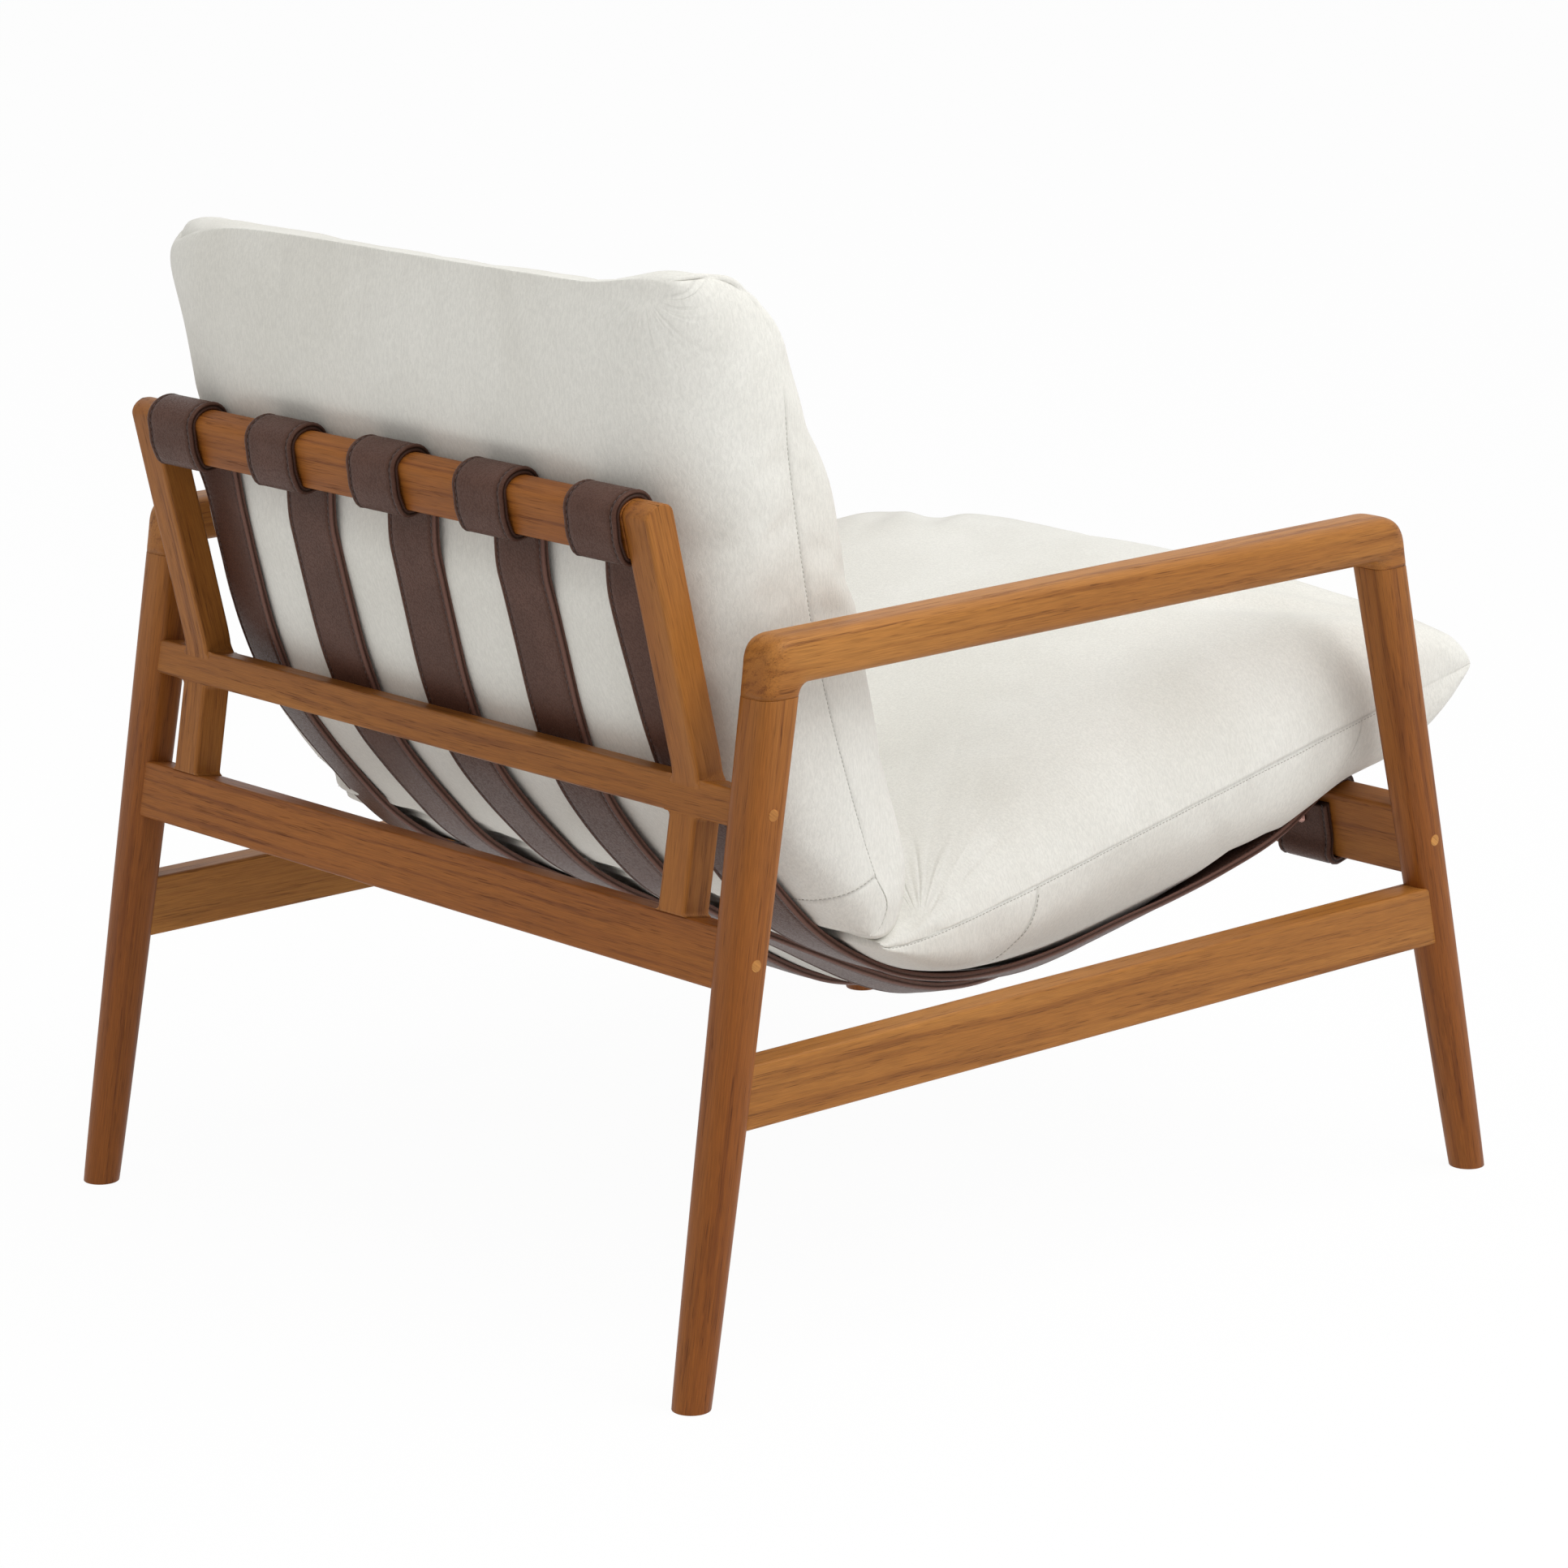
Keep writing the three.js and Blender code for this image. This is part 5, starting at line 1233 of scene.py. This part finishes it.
def topstitch(kind, sizes, t, share, across, patch, normals):
    # Rows of stitches beside the side seams and the first cross seam
    def column(at):
        return np.argmin(np.abs(share[0] * across - at))

    def row(at, past):
        return np.argmin(np.abs(t[:, 0] - at - past / sizes["length"]))

    past, pitch = seamSizes["near"][1], seamSizes["stitch"]
    first = sizes["crossSeams"][0]
    ends, level = slice(row(0, 9), row(sizes["seamShows"], 0)), row(first["at"], past)
    rows = []
    for line in ((ends, column(past)), (ends, column(across - past)),
                 (level, slice(column(5), column(first["reach"]))),
                 (level, slice(column(across - first["reach"]), column(across - 5)))):
        length = lengthAlong(patch[line])
        at = np.arange(pitch / 2, length[-1], pitch)
        rows.append(stitchRow(at, length, patch[line], normals[line]))
    makeStitches(f"{kind}_topstitching", rows, shadedClothThread, "cloth", kind, pitch, seamSizes["stitchRadius"])


def pressSeams(sizes, patches, normals, t, share, v, inward, rng):
    # Seams, puckers, folds and dents sink into the patches, and the corners are plumped and
    # moved. The painted shade in each seam's groove comes back for each patch.
    fromEnd = np.minimum(t, 1 - t) * sizes["length"]
    hem = np.maximum(bell(inward, seamSizes["width"]), bell(fromEnd, seamSizes["width"]))
    hem = hem * (1 - seamSizes["hidden"] * smoothStep((t - sizes["seamShows"]) / 0.03))
    fade = (1 - np.exp(-inward / dent["fade"])) * (1 - np.exp(-fromEnd / dent["fade"]))
    corner = (smoothStep((t - corners["from"][0]) / corners["over"][0])
              * smoothStep((np.abs(v) - corners["from"][1]) / corners["over"][1]))
    shift = corner[..., None] * np.where(v[..., None] < 0, *sizes["cornerShift"])
    dark = {}
    for part in patches:
        groove = hem
        for seam in sizes["crossSeams"] if part == "rest" else ():
            line = bell((t - seam["at"]) * sizes["length"], seamSizes["width"])
            ended = smoothStep((inward - seam["reach"]) / seamSizes["crossEnd"])
            groove = np.maximum(groove, line * (1 - ended))
        dark[part] = groove**3
        sunk = (seamSizes["depth"] * groove + softDents(t, share, rng) * fade
                + seamPuckers(sizes, t, inward, rng, part) + cornerFolds(sizes, t, v, rng, part)
                - sizes["cornerPuff"] * corner * fade)
        patches[part] = patches[part] + shift - normals[part] * sunk[..., None]
    return dark


def makeCushion(kind, shape, sizes, keepClear, seed):
    name = kind + "_cloth"
    columns = columnMap(sizes)
    across = columns[0][-1]
    marks = [0, 1] + [seam["at"] for seam in sizes["crossSeams"]]
    t = placesAlong(sizes["rows"], sizes["length"], marks)[:, None]
    share = placesAlong(sizes["columns"], across, [0, 1])[None, :]
    v = np.interp(share * across, *columns)
    inward = np.minimum(share, 1 - share) * across
    level = t + np.zeros_like(share)
    bent = level.copy()      # rows bend along the gusset's own seams
    for seam in sizes["crossSeams"]:
        sway = seam["curve"] * np.minimum(inward, seam["reach"]) ** 2 / sizes["length"]
        bent -= sway * np.clip(1 - np.abs(t - seam["at"]) / 0.10, 0, 1)
    every = np.broadcast_to(v, bent.shape)
    patches = {"face": shape("face", level, every), "rest": shape("rest", bent, every)}
    patches = puffPatches(name, shape, patches, t, share, columns)
    centre = np.mean(np.vstack([patch.reshape(-1, 3) for patch in patches.values()]), axis=0)
    normals = {part: patchNormals(patch, centre) for part, patch in patches.items()}
    for border in borders:
        both = unit(normals["face"][border] + normals["rest"][border])
        normals["face"][border] = normals["rest"][border] = both
    rng = np.random.default_rng(seed)
    dark = pressSeams(sizes, patches, normals, t, share, v, inward, rng)
    patches["rest"] = keepClear(patches["rest"], sizes)
    points, faces, faceIndex, restIndex = twoPatches(patches["face"], patches["rest"])
    # painted shade of the seam grooves, for the cloth's colour
    seamGrooveShade = np.zeros(len(points))
    seamGrooveShade[faceIndex] = dark["face"]
    seamGrooveShade[restIndex] = np.maximum(dark["rest"], seamGrooveShade[restIndex])
    fan = np.zeros((len(points), 3))
    fan[restIndex] = creaseFan(sizes, t, v, "rest")
    fan[faceIndex] = creaseFan(sizes, t, v, "face")
    piece = makePiece(name, points, faces, cloth, "cloth", kind, [kind], seam=seamGrooveShade, fan=fan)
    smoothing = piece.modifiers.new("smooth", "SUBSURF")
    smoothing.levels = smoothing.render_levels = 1
    topstitch(kind, sizes, t, share, across, patches["rest"], normals["rest"])
    print(name, "built")


def clearOfStraps(patch, sizes):
    # The rest patch stops at the straps' face, and bulges a little between the straps
    x, y, z = np.moveaxis(patch, -1, 0)
    leaning = smoothStep((z - 318) / 20) * (1 - smoothStep((z - 560) / 40))
    behind = strapFaceY(z) + cupAt(x, runStart[1] - z) + sizes["betweenStraps"] * offStraps(x) * leaning
    alongRail = np.clip(z - runStart[1], 0, None) * railSizes["recline"] + 60 * smoothStep((z - 648) / 60) ** 2
    held = np.where(z > 312, np.minimum(y, behind + alongRail), y)
    return np.stack([x, held, z], axis=-1)


def clearOfSling(patch, sizes):
    # The same for what lies on the straps, in front of the cushion's rear edge
    x, y, z = np.moveaxis(patch, -1, 0)
    inside = (y > runEnd[0]) & (y < sizes["rearY"])
    floor = strapTopZ(x, y) - sizes["betweenStraps"] * offStraps(x) - 0.3
    return np.stack([x, y, np.where(inside, np.maximum(z, floor), z)], axis=-1)


makeCushion("back_cushion", backShape, backSizes, clearOfStraps, 301)
makeCushion("seat_cushion", seatShape, seatSizes, clearOfSling, 302)

# Hidden hardware keeps its modelled shape
for name, node in nodes.items():
    finish = beech if "dowel" in name else steel if name.startswith(("screw", "snap_stud")) else None
    if finish:
        node.data.materials.clear()
        node.data.materials.append(finish)

# Pale floor, soft studio light
stageLook = {"floor": (0.90, 0.90, 0.90, 1), "floorHalf": 14.0, "roughness": 0.9, "seenWhite": 0.96,
             "bounce": 0.20, "worldLight": 0.57, "lampsFace": (0, 0, 0.4)}
lamps = {
    "key": {"at": (-2.0, -0.5, 4.1), "size": 4.0, "power": 120.0, "colour": (1.0, 1.0, 1.0)},
    "side": {"at": (-3.5, -0.5, 2.8), "size": 1.2, "power": 20.0, "colour": (1.0, 1.0, 1.0)},
    "fill": {"at": (0.6, 3.6, 2.8), "size": 3.0, "power": 15.0, "colour": (1.0, 0.94, 0.82)},
}


def seenRays(tree):
    # 1 for what is seen straight, in a shiny surface or through a clear one
    rays = addNode(tree, "ShaderNodeLightPath").outputs
    bounced = maths(tree, "MAXIMUM", rays["Is Glossy Ray"], rays["Is Transmission Ray"])
    return maths(tree, "MAXIMUM", rays["Is Camera Ray"], bounced)


def stageMaterial():
    material, tree, shader = startMaterial("studioFloor")
    shader.inputs["Base Color"].default_value = stageLook["floor"]
    shader.inputs["Roughness"].default_value = stageLook["roughness"]
    shader.inputs["Specular IOR Level"].default_value = 0.0
    glow = addNode(tree, "ShaderNodeEmission", Strength=1.0)
    white = maths(tree, "MULTIPLY", seenRays(tree), stageLook["seenWhite"])
    share = maths(tree, "MAXIMUM", white, stageLook["bounce"])
    blend = addNode(tree, "ShaderNodeMixShader", in0=share, in1=shader.outputs[0], in2=glow.outputs[0])
    tree.links.new(blend.outputs[0], tree.nodes["Material Output"].inputs["Surface"])
    return material


wide = stageLook["floorHalf"]
floorMesh = bpy.data.meshes.new("floor")
around = [(x * wide, y * wide, 0) for x, y in ((-1, -1), (1, -1), (1, 1), (-1, 1))]
floorMesh.from_pydata(around, [], [(0, 1, 2, 3)])
floorMesh.materials.append(stageMaterial())
addObject("floor", floorMesh)

world = bpy.data.worlds.new("studio")
bpy.context.scene.world = world
world.use_nodes = True
tree = world.node_tree
limits = {"To Min": stageLook["worldLight"], "To Max": 1.0}
strength = addNode(tree, "ShaderNodeMapRange", Value=seenRays(tree), **limits)
background = tree.nodes["Background"].inputs
background["Color"].default_value = (1, 1, 1, 1)
tree.links.new(strength.outputs[0], background["Strength"])

for name, lamp in lamps.items():
    data = bpy.data.lights.new(name, "AREA")
    data.size = lamp["size"]
    data.energy = lamp["power"]
    data.color = lamp["colour"]
    addObject(name, data, Vector(lamp["at"]), Vector(stageLook["lampsFace"]))
bpy.context.scene.view_settings.view_transform = "Standard"
print("stage and lamps ready")
